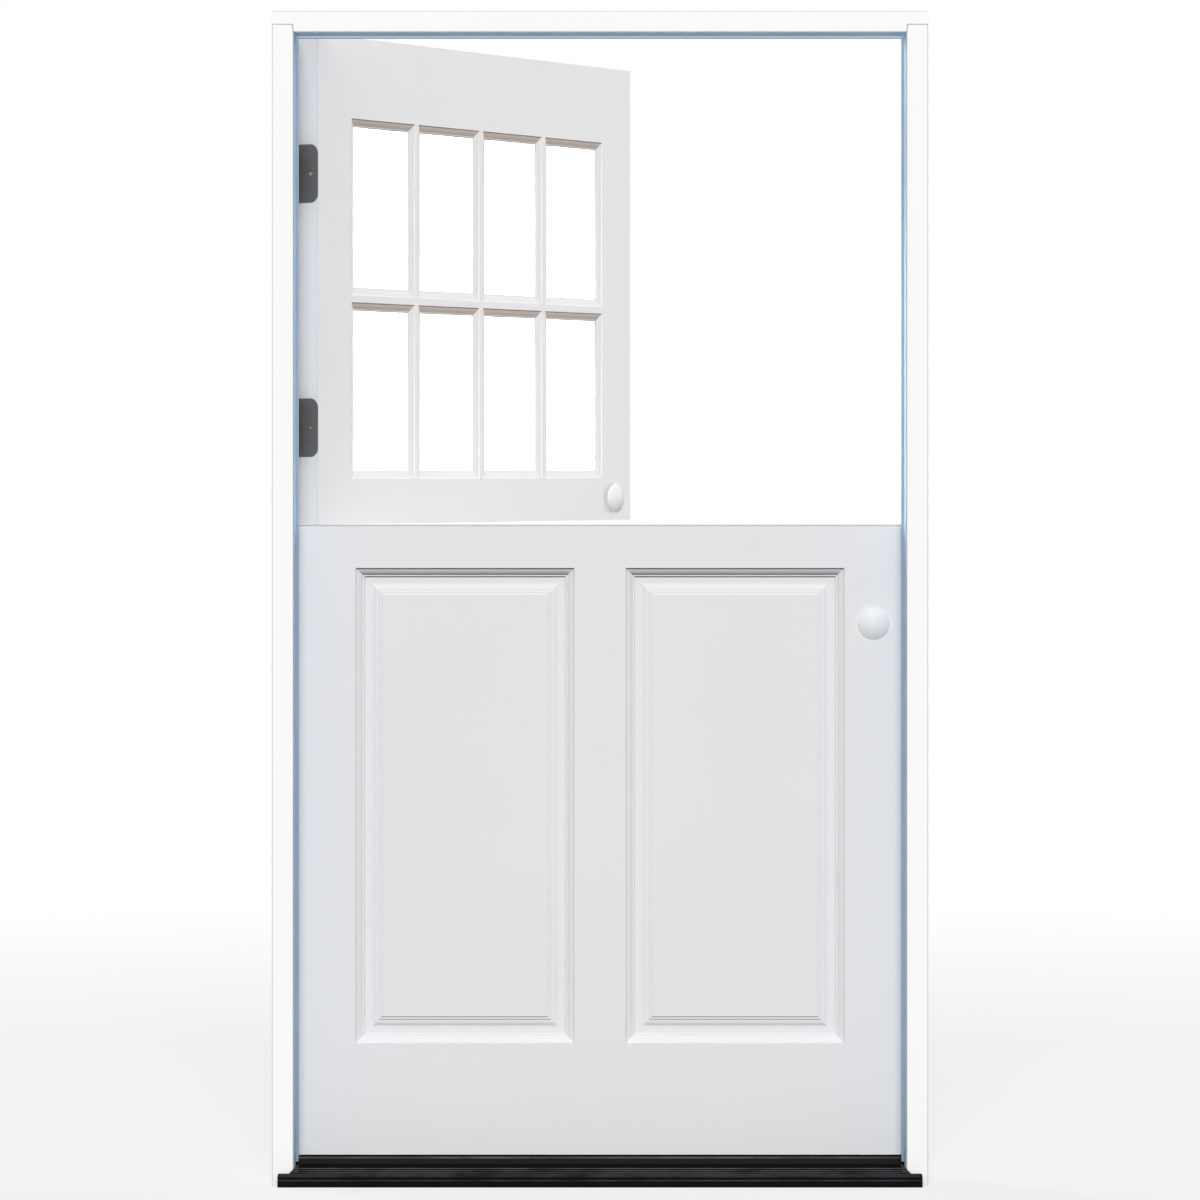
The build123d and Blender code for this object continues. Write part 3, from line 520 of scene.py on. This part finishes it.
@dataclass(frozen=True)
class Rubber:
    """Matt rubber or composite: fine grain and a dusty bloom."""

    name: str
    colour: Colour
    bloom: Colour
    roughness: float = 0.7

    def material(self) -> bpy.types.Material:
        """Builds the rubber's nodes.

        Returns:
            The material.
        """
        material = bpy.data.materials.new(self.name)
        sheet = NodeSheet(material)
        plain = sheet.place(PLAIN)
        fine = sheet.noise(plain, scale=1100.0)
        dust = sheet.noise(plain, scale=30.0, detail=4.0)
        bloomed = sheet.spread(dust, low=0.0, high=0.5, start=0.4, end=0.75)
        colour = sheet.blend(bloomed, self.colour, self.bloom)
        roughness = sheet.spread(fine, self.roughness - 0.1, self.roughness + 0.1)
        rounded = sheet.soft_edges(radius=0.0005)
        sheet.surface(colour, roughness, sheet.bump(fine, depth=0.00005, strength=0.6, normal=rounded))
        return material


@dataclass(frozen=True)
class Glass:
    """Clear float glass: a faint waviness and smears, and light passes it without a shadow."""

    name: str
    tint: Colour

    def material(self) -> bpy.types.Material:
        """Builds the glass nodes.

        Returns:
            The material.
        """
        material = bpy.data.materials.new(self.name)
        sheet = NodeSheet(material)
        plain = sheet.place(PLAIN)
        waves = sheet.noise(plain, scale=5.0, detail=1.0)
        smears = sheet.noise(plain, scale=18.0, detail=4.0)
        smeared = sheet.spread(smears, low=0.0, high=0.03, start=0.45, end=0.8)
        pane = sheet.add("ShaderNodeBsdfPrincipled")
        sheet.feed(pane.inputs["Base Color"], self.tint)
        pane.inputs["Transmission Weight"].default_value = 1.0
        pane.inputs["IOR"].default_value = 1.46
        sheet.feed(pane.inputs["Roughness"], smeared)
        sheet.feed(pane.inputs["Normal"], sheet.bump(waves, depth=0.0004, strength=0.1))
        clear = sheet.add("ShaderNodeBsdfTransparent")
        sheet.feed(clear.inputs["Color"], self.tint)
        passing = sheet.add("ShaderNodeMixShader")
        sheet.feed(passing.inputs[0], sheet.add("ShaderNodeLightPath").outputs["Is Shadow Ray"])
        sheet.feed(passing.inputs[1], pane.outputs["BSDF"])
        sheet.feed(passing.inputs[2], clear.outputs["BSDF"])
        sheet.feed(sheet.output.inputs["Surface"], passing.outputs["Shader"])
        return material


class Finish(Protocol):
    """Anything that can make a material."""

    def material(self) -> bpy.types.Material:
        """Builds the material."""


@functools.cache
def material_of(finish: Finish) -> bpy.types.Material:
    """Makes a finish's material once and gives it again each later time."""
    return finish.material()


def dress(finish: Finish, *nodes: str) -> None:
    """Gives CAD nodes a finish.

    Args:
        finish: The finish.
        *nodes: Names of the nodes.
    """
    material = material_of(finish)
    for name in nodes:
        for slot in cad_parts[name].material_slots:
            slot.material = material
        log.info("dressed %s in %s", name, material.name)


def swung(points: np.ndarray) -> np.ndarray:
    """Turns points of the closed upper leaf to where the leaf stands open.

    Args:
        points: Points with X, Y and Z on the last axis.

    Returns:
        The turned points, in the same shape.
    """
    cosine, sine = math.cos(OPEN_ANGLE), math.sin(OPEN_ANGLE)
    turn = np.array(((cosine, -sine, 0.0), (sine, cosine, 0.0), (0.0, 0.0, 1.0)))
    return (points - HINGE_LINE) @ turn.T + HINGE_LINE


def grid_faces(rows: int, columns: int, row_ring: bool, column_ring: bool) -> np.ndarray:
    """Lists the four-sided faces of a grid of points.

    Args:
        rows: Points along the first parameter.
        columns: Points along the second parameter.
        row_ring: Whether the last row joins the first.
        column_ring: Whether the last column joins the first.

    Returns:
        Four point numbers for each face.
    """
    row = np.arange(rows if row_ring else rows - 1)[:, None]
    column = np.arange(columns if column_ring else columns - 1)[None, :]
    next_row, next_column = (row + 1) % rows, (column + 1) % columns
    corners = (row * columns + column, next_row * columns + column)
    corners += (next_row * columns + next_column, row * columns + next_column)
    return np.stack(np.broadcast_arrays(*corners), axis=-1).reshape(-1, 4)


@dataclass
class Piece:
    """A new piece made of equal surface grids, which rides on a body."""

    name: str
    body: str
    slot: str
    finish: Finish

    def make(self, grids: np.ndarray, row_ring: bool, column_ring: bool) -> bpy.types.Object:
        """Turns grids of points into one smooth mesh, with the faces turned outwards by its signed volume.

        Args:
            grids: Points as grid, row, column and coordinate.
            row_ring: Whether each grid's last row joins its first.
            column_ring: Whether each grid's last column joins its first.

        Returns:
            The piece's object.
        """
        count, rows, columns, _ = grids.shape
        points = grids.reshape(-1, 3)
        faces = grid_faces(rows, columns, row_ring, column_ring)
        faces = (faces[None] + (np.arange(count) * rows * columns)[:, None, None]).reshape(-1, 4)
        first, second, third, fourth = points[faces].transpose(1, 0, 2)
        volume = np.sum(first * (np.cross(second, third) + np.cross(third, fourth)))
        faces = faces if volume > 0 else faces[:, ::-1]
        mesh = bpy.data.meshes.new(self.name)
        mesh.from_pydata(points.tolist(), [], faces.tolist())
        welded = bmesh.new()
        welded.from_mesh(mesh)
        bmesh.ops.remove_doubles(welded, verts=welded.verts, dist=WELD)
        welded.to_mesh(mesh)
        welded.free()
        mesh.polygons.foreach_set("use_smooth", np.ones(len(mesh.polygons), dtype=bool))
        mesh.set_sharp_from_angle(angle=SHARP_ANGLE)
        mesh.materials.append(material_of(self.finish))
        piece = bpy.data.objects.new(self.name, mesh)
        bpy.context.scene.collection.objects.link(piece)
        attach(piece, self.body)
        log.info("made %s with %d faces", self.name, len(faces))
        return piece


def framed_run(box: np.ndarray, profile: np.ndarray) -> np.ndarray:
    """Runs a profile round a rectangle in the plane of a closed leaf, with mitred corners.

    Each profile point is an inset and a depth: the point goes round the rectangle drawn in by the inset, at
    that depth behind the outer face.

    Args:
        box: Left, right, low and high edge of the rectangle.
        profile: Inset and depth of each point, as a closed loop.

    Returns:
        Points as corner, profile point and coordinate.
    """
    left, right, low, high = box
    sides = np.array(((left, low, 1, 1), (right, low, -1, 1), (right, high, -1, -1), (left, high, 1, -1)))
    inset, depth = profile.T
    across = sides[:, 0, None] + sides[:, 2, None] * inset
    upward = sides[:, 1, None] + sides[:, 3, None] * inset
    return np.stack(np.broadcast_arrays(across, depth, upward), axis=-1)


def screw_heads(places: np.ndarray, into: int) -> np.ndarray:
    """Makes countersunk screws with a cross recess, lying along X.

    The two parameters are the way along a profile and the angle round it. The profile runs over the head,
    down the countersink and along the shank to the point. Over the head the surface sinks by a depth that
    falls off with the distance from the nearer axis and with the distance along the arm of the cross.

    Args:
        places: Centre of each head.
        into: 1 if the screws are driven towards positive X, -1 if towards negative X.

    Returns:
        Points as screw, profile point, angle and coordinate.
    """
    head, rim, shank, length = 0.0042, 0.00012, 0.0021, 0.015
    arm, half_width, recess = 0.0026, 0.0007, 0.0014
    rings, spokes = 13, 48
    over = np.linspace(0.0, head - rim, rings)
    radius = np.concatenate((over, (head, shank, shank, 0.0)))
    depth = np.concatenate((np.zeros_like(over), (rim, head - shank, length - shank, length)))
    angle = np.linspace(0.0, 2 * math.pi, spokes, endpoint=False)
    across, upward = radius[:, None] * np.cos(angle), radius[:, None] * np.sin(angle)
    near = np.minimum(np.abs(across), np.abs(upward))
    far = np.maximum(np.abs(across), np.abs(upward))
    cross = np.clip(1.5 - 1.5 * near / half_width, 0.0, 1.0) * np.clip(2.0 - 2.0 * far / arm, 0.0, 1.0)
    sunk = depth[:, None] + recess * cross * (radius < head - rim / 2)[:, None]
    screw = np.stack((into * sunk, across, upward), axis=-1)
    return places[:, None, None, :] + screw[None]


class Assembly:
    """A sub-assembly of the door."""

    def build(self) -> None:
        """Adds the pieces that the solids leave to be added, if any."""

    def dress(self) -> None:
        """Gives the solids their finishes."""


@dataclass
class DoorFrame(Assembly):
    """Jambs, head and casing, painted white, with the soft seals round the stops."""

    white: Colour = srgb(252, 252, 252)
    # Colour of the painted shade in corners, under mouldings and on rounded edges
    white_shade: Colour = srgb(120, 120, 119)
    blue: Colour = srgb(160, 190, 217)
    blue_pale: Colour = srgb(182, 207, 226)
    film: Colour = srgb(184, 208, 230)
    film_pale: Colour = srgb(200, 220, 237)
    film_thickness: float = 0.0004
    film_foot: float = 0.032

    def build(self) -> None:
        """Lines the inner edge of the casing with the seal's blue film.

        The two parameters are the way up one leg, over the head and down the other leg, and the way round the
        film's flat section. Both ends close to a point in the section.
        """
        leg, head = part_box("casing_hinge_leg"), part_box("casing_head")
        inner, top = -leg[1][0], head[0][2]
        front, back = leg[0][1], leg[1][1]
        across = np.array((-inner, -inner, inner, inner))
        upward = np.array((self.film_foot, top, top, self.film_foot))
        way = np.array(((1, 0), (1, -1), (-1, -1), (-1, 0)))
        inset = np.array((0.0, self.film_thickness, self.film_thickness, 0.0))
        depth = np.array((front, front, back, back))
        film = np.stack(
            np.broadcast_arrays(
                across[:, None] + way[:, :1] * inset, depth, upward[:, None] + way[:, 1:] * inset
            ),
            axis=-1,
        )
        ends = np.broadcast_to(film[[0, -1]].mean(axis=1, keepdims=True), (2, *film.shape[1:]))
        film = np.concatenate((ends[:1], film, ends[1:]))
        skin = SealSkin("film_blue", self.film, self.film_pale)
        Piece("casing_film", "frame", "seal_blue", skin).make(film[None], row_ring=False, column_ring=True)

    def dress(self) -> None:
        """Paints the timber and colours the seals."""
        # Frame paint: painted shade in corners and undersides, and a painted dark outline on rounded edges
        upright, across = (
            Paint(f"frame_paint_{grain.name.lower()}", self.white, self.white_shade, grain, edge_shade=0.6)
            for grain in (Grain.UPRIGHT, Grain.ACROSS)
        )
        dress(upright, "hinge_jamb", "strike_jamb", "casing_hinge_leg", "casing_strike_leg")
        dress(across, "head_jamb", "casing_head")
        dress(SealSkin("seal_skin", self.blue, self.blue_pale), "seal_hinge_side", "seal_strike_side")
        # The head seal takes the paler film blue, painted lighter than the side seals because it faces down
        # into shade
        dress(SealSkin("seal_skin_head", self.film, self.film_pale), "seal_head")


@dataclass
class Sill(Assembly):
    """The dark sill: ribbed deck with its nosing, threshold cap, core and corner pads."""

    metal: Colour = srgb(13, 14, 16)
    cap: Colour = srgb(34, 34, 31)
    # Colour of the worn and painted-highlight edges and shoulders
    rubbed_and_highlight: Colour = srgb(140, 144, 147)
    composite: Colour = srgb(28, 28, 28)
    composite_bloom: Colour = srgb(52, 52, 50)
    pad: Colour = srgb(16, 16, 16)
    pad_bloom: Colour = srgb(40, 40, 40)

    def dress(self) -> None:
        """Gives the sill its dark metal, composite and rubber."""
        for name, colour, node in (
            ("sill_metal", self.metal, "sill_deck"),
            ("cap_metal", self.cap, "threshold_cap"),
        ):
            # No gloss, so no reflection: the brighter edges are wear and painted highlight, the brighter
            # shoulders painted highlight lines
            metal = DarkMetal(
                name, colour, self.rubbed_and_highlight, Grain.ACROSS, gloss=0.0, edge_radius=0.0009, shoulder_highlight=0.3
            )
            dress(metal, node)
        dress(Rubber("sill_composite", self.composite, self.composite_bloom), "sill_core")
        dress(Rubber("pad_rubber", self.pad, self.pad_bloom), "sill_corner_pads")


@dataclass
class LowerLeaf(Assembly):
    """The closed, panelled leaf."""

    paint: Colour = srgb(229, 229, 231)
    # Near-black colour of the painted shade lines in quirks, crevices and under mouldings
    shade: Colour = srgb(26, 26, 26)
    sweep: Colour = srgb(30, 30, 30)
    sweep_bloom: Colour = srgb(60, 60, 60)
    strip: Colour = srgb(180, 180, 180)
    strip_bloom: Colour = srgb(164, 164, 164)
    thickness: float = 0.04445
    sticking: float = 0.0145
    lip_depth: float = 0.0125
    panel_depth: float = 0.015
    tongue: float = 0.0047
    bead: float = 0.002
    sag: float = 0.00015
    sunk: float = 0.00002

    def finish(self, name: str, grain: Grain, leans: tuple[float, float] = (-0.45, -0.9)) -> Paint:
        """Gives the leaf's paint, brushed one way.

        Args:
            name: Name of the material.
            grain: The way of the brush.
            leans: Leans of a surface at which the painted shade starts and is darkest.

        Returns:
            The paint.
        """
        # Near-black painted shade in crevices and on down-facing quirks and mouldings
        return Paint(
            name, self.paint, self.shade, grain, edge_radius=0.0003, corner_shade=0.7, dust=0.9, shade_leans=leans
        )

    def build(self) -> None:
        """Runs a painted bead of filler where each panel enters its mouldings, on both faces.

        The two parameters are the way round the panel and the way round the bead's section, whose face runs
        from the lip to the panel and sags by half a sine wave.
        """
        share = np.linspace(0.0, 1.0, BEAD_POINTS)
        sag = self.sag * np.sin(math.pi * share)
        edge = self.sticking - self.sunk
        inset = np.append(edge + self.bead * share - sag, edge)
        depth = np.append(self.lip_depth + (self.panel_depth - self.lip_depth) * share, self.panel_depth)
        depth += self.sunk
        profiles = [np.stack((inset, face), axis=-1) for face in (depth, self.thickness - depth)]
        runs = []
        for panel in ("left_panel", "right_panel"):
            (left, _, low), (right, _, high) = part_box(panel)
            opening = np.array((left, right, low, high)) + self.tongue * np.array((-1, 1, -1, 1))
            runs += [framed_run(opening, profile) for profile in profiles]
        # The filler's down-facing side is painted near-black as a shadow line; its sides and bottom stay pale
        paint = self.finish("filler_paint", Grain.NONE, leans=(-0.3, -0.7))
        filler = Piece("panel_filler", "lower_leaf", "leaf_paint", paint)
        filler.make(np.stack(runs), row_ring=True, column_ring=True)

    def dress(self) -> None:
        """Paints the timber along its grain, and colours the sweep below and the soft strip on top."""
        upright = self.finish("lower_paint_upright", Grain.UPRIGHT)
        across = self.finish("lower_paint_across", Grain.ACROSS)
        dress(upright, "lower_hinge_stile", "lower_lock_stile", "lower_mullion", "left_panel", "right_panel")
        dress(across, "lower_top_rail", "lower_bottom_rail")
        dress(Rubber("sweep_rubber", self.sweep, self.sweep_bloom), "bottom_sweep")
        dress(Rubber("meeting_rubber", self.strip, self.strip_bloom), "meeting_seal")


@dataclass
class UpperLeaf(Assembly):
    """The open, glazed leaf."""

    paint: Colour = srgb(229, 229, 231)
    # Tan colour of the painted shade under down-facing mouldings, standing for warm light from below
    shade: Colour = srgb(158, 124, 88)
    sealant: Colour = srgb(236, 236, 236)
    glass_tint: Colour = (0.992, 0.996, 0.994)
    columns: int = 4
    rows: int = 2
    zone_half_width: float = 0.4295
    bar_flat: float = 0.0124
    sticking: float = 0.013
    glass_front: float = 0.0065
    glass_back: float = 0.0125
    bead: float = 0.0014
    sunk: float = 0.00002

    def fillet(self, rise: float, glass: float) -> np.ndarray:
        """Gives the section of a sealant bead in the corner between a moulding and the glass.

        The bead's face is a quarter circle that sags into the corner.

        Args:
            rise: Height of the bead on the moulding, away from the glass; its sign gives the side.
            glass: Depth of the glass face.

        Returns:
            Inset and depth of each point of the closed section.
        """
        turn = np.linspace(0.0, math.pi / 2, BEAD_POINTS)
        corner = self.sticking - self.sunk
        inset = np.append(corner + self.bead * (1 - np.sin(turn)), corner)
        depth = np.append(glass - rise * (1 - np.cos(turn)), glass)
        return np.stack((inset, depth - math.copysign(self.sunk, rise)), axis=-1)

    def build(self) -> None:
        """Runs sealant round every lite outside and round the whole pane inside.

        The two parameters are the way round a lite or the pane and the way round the bead's section. The
        points are worked out on the closed leaf and turned with it.
        """
        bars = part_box("glazing_bars_upright")
        low, high = bars[0][2], bars[1][2]
        width = (2 * self.zone_half_width - (self.columns - 1) * self.bar_flat) / self.columns
        height = (high - low - (self.rows - 1) * self.bar_flat) / self.rows
        lefts = -self.zone_half_width + np.arange(self.columns) * (width + self.bar_flat)
        lows = low + np.arange(self.rows) * (height + self.bar_flat)
        outer = self.fillet(self.bead / 2, self.glass_front)
        runs = [
            framed_run(np.array((left, left + width, foot, foot + height)), outer)
            for left in lefts
            for foot in lows
        ]
        # The sealant's down-facing side is painted tan-dark as shade under each lite's top moulding
        sealant = Paint(
            "glazing_sealant",
            self.sealant,
            self.shade,
            Grain.NONE,
            roughness=0.6,
            edge_radius=0.0003,
            corner_shade=0.0,
            dust=0.8,
            shade_leans=(-0.05, -0.3),
        )
        Piece("outer_sealant", "upper_leaf", "pale_rubber", sealant).make(
            swung(np.stack(runs)), row_ring=True, column_ring=True
        )
        inner = framed_run(
            np.array((-self.zone_half_width, self.zone_half_width, low, high)),
            self.fillet(-self.bead / 2, self.glass_back),
        )
        Piece("inner_sealant", "upper_leaf", "pale_rubber", sealant).make(
            swung(inner[None]), row_ring=True, column_ring=True
        )

    def dress(self) -> None:
        """Paints the timber along its grain, with painted tan shade under its down-facing mouldings, and
        clears the glass.
        """
        upright, across = (
            Paint(
                f"upper_paint_{grain.name.lower()}",
                self.paint,
                self.shade,
                grain,
                OPEN_ANGLE,
                edge_radius=0.0003,
                corner_shade=0.1,
                dust=0.55,
                shade_leans=(-0.05, -0.3),
                quirk_shade=0.9,
            )
            for grain in (Grain.UPRIGHT, Grain.ACROSS)
        )
        dress(upright, "upper_hinge_stile", "upper_lock_stile", "glazing_bars_upright")
        dress(across, "upper_top_rail", "upper_bottom_rail", "glazing_bars_cross", "glazing_beads")
        dress(Glass("clear_glass", self.glass_tint), "glass_pane")


@dataclass
class Hinges(Assembly):
    """Butt hinges in grey metal with their pins and screws."""

    grey: Colour = srgb(112, 112, 112)
    # Colour of the worn and painted-highlight edges
    rubbed_and_highlight: Colour = srgb(176, 176, 176)
    brass: Colour = srgb(238, 222, 192)
    brass_dull: Colour = srgb(196, 180, 148)
    jamb_face: float = -0.5364
    leaf_face: float = -0.5334
    centre_inset: float = 0.017
    outer_inset: float = 0.029
    outer_rise: float = 0.034
    lower: tuple[str, ...] = ("lower_bottom", "lower_top")
    upper: tuple[str, ...] = ("upper_bottom", "upper_top")

    def heights(self, hinges: tuple[str, ...]) -> np.ndarray:
        """Gives the middle height of hinges."""
        return np.array([np.mean(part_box(f"hinge_jamb_plate_{name}"), axis=0)[2] for name in hinges])

    def centre_places(self, face: float, hinges: tuple[str, ...]) -> np.ndarray:
        """Gives the places of the centre screws of hinge plates.

        Args:
            face: X of the plates' faces.
            hinges: Names of the hinges.

        Returns:
            One point for each plate.
        """
        heights = self.heights(hinges)
        return np.stack(np.broadcast_arrays(face, self.centre_inset, heights), axis=-1)

    def outer_places(self, face: float, hinges: tuple[str, ...]) -> np.ndarray:
        """Gives the places of the two outer screws of hinge plates.

        Args:
            face: X of the plates' faces.
            hinges: Names of the hinges.

        Returns:
            Two points for each plate.
        """
        rises = np.array((-self.outer_rise, self.outer_rise))
        heights = (self.heights(hinges)[:, None] + rises).ravel()
        return np.stack(np.broadcast_arrays(face, self.outer_inset, heights), axis=-1)

    def satin(self) -> DarkMetal:
        """Gives the grey metal of plates, pins and screws."""
        # Its edges are painted lighter, as wear and highlight
        return DarkMetal("hinge_metal", self.grey, self.rubbed_and_highlight, Grain.UPRIGHT, roughness=0.42, metallic=0.3)

    def build(self) -> None:
        """Puts screws with cross recesses in the plates."""
        both = self.lower + self.upper
        jamb = (self.centre_places(self.jamb_face, both), self.outer_places(self.jamb_face, both))
        leaf = (self.centre_places(self.leaf_face, self.lower), self.outer_places(self.leaf_face, self.lower))
        centre = self.centre_places(self.leaf_face, self.upper)
        outer = self.outer_places(self.leaf_face, self.upper)
        brass = BrightMetal("screw_brass", self.brass, self.brass_dull, Grain.NONE)
        satin = self.satin()
        sets = (
            (Piece("jamb_screws", "frame", "hinge_metal", satin), screw_heads(np.concatenate(jamb), -1)),
            (Piece("lower_screws", "lower_leaf", "hinge_metal", satin), screw_heads(np.concatenate(leaf), 1)),
            (Piece("upper_screws", "upper_leaf", "hinge_metal", satin), swung(screw_heads(outer, 1))),
            (Piece("upper_brass_screws", "upper_leaf", "brass", brass), swung(screw_heads(centre, 1))),
        )
        nodes = ("jamb_screws", "lower_leaf_screws", "upper_screws", "upper_centre_screws")
        for (piece, grids), node in zip(sets, nodes):
            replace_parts(piece.make(grids, row_ring=False, column_ring=True), f"hinge_{node}")

    def dress(self) -> None:
        """Gives the plates and pins their metal."""
        both = self.lower + self.upper
        plates = [f"hinge_{side}_plate_{name}" for side in ("jamb", "leaf") for name in both]
        dress(self.satin(), *plates, "hinge_pins")


@dataclass
class Locks(Assembly):
    """Turn knobs, roses, spindles, bolts and strike plates."""

    white: Colour = srgb(232, 232, 232)
    shade: Colour = srgb(150, 150, 150)
    bright: Colour = srgb(205, 205, 205)
    dull: Colour = srgb(150, 150, 150)
    strike_face: float = 0.5364
    strike_screw_rise: float = 0.021

    def steel(self) -> BrightMetal:
        """Gives the brushed steel of the works."""
        return BrightMetal("lock_steel", self.bright, self.dull, Grain.UPRIGHT)

    def build(self) -> None:
        """Puts screws with cross recesses in the strike plates."""
        plates = [np.mean(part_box(f"{leaf}_strike_plate"), axis=0) for leaf in ("lower", "upper")]
        rises = np.array((-self.strike_screw_rise, self.strike_screw_rise))
        places = np.repeat(np.array(plates), 2, axis=0)
        places[:, 0] = self.strike_face
        places[:, 2] += np.tile(rises, len(plates))
        screws = Piece("strike_plate_screws", "frame", "lock_steel", self.steel())
        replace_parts(screws.make(screw_heads(places, 1), row_ring=False, column_ring=True), "strike_screws")

    def dress(self) -> None:
        """Gives the knobs their enamel and the works their steel."""
        # A little painted shade in the knobs' corners
        enamel = Paint(
            "knob_enamel", self.white, self.shade, Grain.NONE, edge_radius=0.0003, corner_shade=0.1, dust=0.0
        )
        steel = self.steel()
        for leaf in ("lower", "upper"):
            dress(enamel, f"{leaf}_outer_knob", f"{leaf}_inner_knob", f"{leaf}_roses")
            works = ("spindle", "bolt", "bolt_case", "strike_plate")
            dress(steel, *(f"{leaf}_{piece}" for piece in works))


@dataclass(frozen=True)
class Lamp:
    """A broad soft lamp far away, which lights top and bottom alike and casts no shadow of some pieces."""

    name: str
    azimuth: float
    elevation: float
    level: float
    breadth: float = 20.0
    passes: tuple[str, ...] = ()

    def build(self) -> None:
        """Hangs the lamp at its azimuth, counted to the right from the front."""
        light = bpy.data.lights.new(self.name, "SUN")
        light.energy = self.level * math.pi
        light.angle = math.radians(self.breadth)
        turn, lift = math.radians(self.azimuth), math.radians(self.elevation)
        towards = Vector((math.sin(turn) * math.cos(lift), -math.cos(turn) * math.cos(lift), math.sin(lift)))
        lamp = bpy.data.objects.new(self.name, light)
        lamp.rotation_euler = towards.to_track_quat("Z", "Y").to_euler()
        bpy.context.scene.collection.objects.link(lamp)
        if self.passes:
            unshaded = bpy.data.collections.new(f"{self.name}_passes")
            for name in self.passes:
                unshaded.objects.link(bpy.data.objects[name])
            for entry in unshaded.collection_objects:
                entry.light_linking.link_state = "EXCLUDE"
            lamp.light_linking.blocker_collection = unshaded


@dataclass
class Studio:
    """Plain pale floor, soft light all round, and the camera at the photograph's place."""

    camera_distance: float = 9.664
    camera_height: float = 1.2303
    lens: float = 167.6
    sensor: float = 36.0
    view_end: float = 200.0
    shift: float = -0.1108
    sky: float = 0.45
    floor_bounce: Colour = (0.25, 0.238, 0.226)
    floor_body: float = 0.25
    floor_glow: float = 0.64
    near: float = 2.5
    far: float = 6.0
    floor_reach: float = 40.0
    shadowless: tuple[str, ...] = (
        "casing_head",
        "head_jamb",
        "seal_head",
        "casing_film",
        "lower_outer_knob",
        "upper_outer_knob",
    )

    def lamps(self) -> tuple[Lamp, ...]:
        """Lists the key light from the front and the fill lights from both sides.

        Returns:
            The lamps.
        """
        return (
            Lamp("front_key", azimuth=0.0, elevation=30.0, level=0.73, passes=self.shadowless),
            Lamp("right_side", azimuth=115.0, elevation=8.0, level=0.3),
            Lamp("left_side", azimuth=-132.0, elevation=10.0, level=0.75),
        )

    def floor(self) -> None:
        """Lays a wide floor that fades to white far off and throws little warm light back up."""
        reach = np.array((-self.floor_reach, self.floor_reach))
        corners = np.stack(np.meshgrid(reach, reach, [0.0]), axis=-1).reshape(-1, 3)
        mesh = bpy.data.meshes.new("studio_floor")
        mesh.from_pydata(corners.tolist(), [], [(0, 1, 3, 2)])
        floor = bpy.data.objects.new("studio_floor", mesh)
        bpy.context.scene.collection.objects.link(floor)
        material = bpy.data.materials.new("studio_floor")
        sheet = NodeSheet(material)
        seen = self.seen(sheet)
        length = sheet.add("ShaderNodeVectorMath", operation="LENGTH")
        sheet.feed(length.inputs[0], sheet.place(PLAIN))
        distance = length.outputs["Value"]
        fade = sheet.spread(distance, 0.0, 1.0, self.near, self.far)
        body = sheet.blend(fade, (self.floor_body,) * 3, (0.0,) * 3)
        matt = sheet.add("ShaderNodeBsdfDiffuse")
        sheet.feed(matt.inputs["Color"], sheet.blend(seen, self.floor_bounce, body))
        glow = sheet.add("ShaderNodeEmission")
        strength = sheet.spread(distance, self.floor_glow, 1.0, self.near, self.far)
        sheet.feed(glow.inputs["Strength"], sheet.combine("MULTIPLY", seen, strength))
        both = sheet.add("ShaderNodeAddShader")
        sheet.feed(both.inputs[0], matt.outputs["BSDF"])
        sheet.feed(both.inputs[1], glow.outputs["Emission"])
        sheet.feed(sheet.output.inputs["Surface"], both.outputs["Shader"])
        mesh.materials.append(material)

    @staticmethod
    def seen(sheet: NodeSheet) -> Socket:
        """Gives 1 for rays that show the background: straight, mirrored or through glass.

        Args:
            sheet: Node tree to work in.

        Returns:
            The share.
        """
        path = sheet.add("ShaderNodeLightPath").outputs
        mirrored = sheet.combine("MAXIMUM", path["Is Glossy Ray"], path["Is Transmission Ray"])
        return sheet.combine("MAXIMUM", path["Is Camera Ray"], mirrored)

    def world(self) -> None:
        """Makes a soft even sky that the camera sees as white."""
        world = bpy.data.worlds.new("studio_sky")
        bpy.context.scene.world = world
        sheet = NodeSheet(world)
        sky = sheet.add("ShaderNodeBackground")
        sheet.feed(sky.inputs["Color"], (1.0, 1.0, 1.0))
        sheet.feed(sky.inputs["Strength"], sheet.spread(self.seen(sheet), self.sky, 1.0))
        sheet.feed(sheet.output.inputs["Surface"], sky.outputs["Background"])

    def camera(self) -> None:
        """Sets the level camera with the shift that frames the door as in the photograph."""
        data = bpy.data.cameras.new("camera")
        data.lens = self.lens
        data.sensor_width = self.sensor
        data.shift_y = self.shift
        data.clip_end = self.view_end
        camera = bpy.data.objects.new("camera", data)
        camera.location = (0.0, -self.camera_distance, self.camera_height)
        camera.rotation_euler = (math.pi / 2, 0.0, 0.0)
        bpy.context.scene.collection.objects.link(camera)
        bpy.context.scene.camera = camera

    def build(self) -> None:
        """Sets up floor, sky, lamps and camera."""
        self.floor()
        self.world()
        for lamp in self.lamps():
            lamp.build()
        self.camera()
        bpy.context.scene.view_settings.view_transform = "Standard"
        log.info("studio ready")


def main() -> None:
    """Builds and dresses the sub-assemblies in order."""
    for assembly in (DoorFrame(), Sill(), LowerLeaf(), UpperLeaf(), Hinges(), Locks()):
        assembly.build()
        assembly.dress()
    Studio().build()


if __name__ == "__main__":
    logging.basicConfig(level=logging.INFO)
    main()
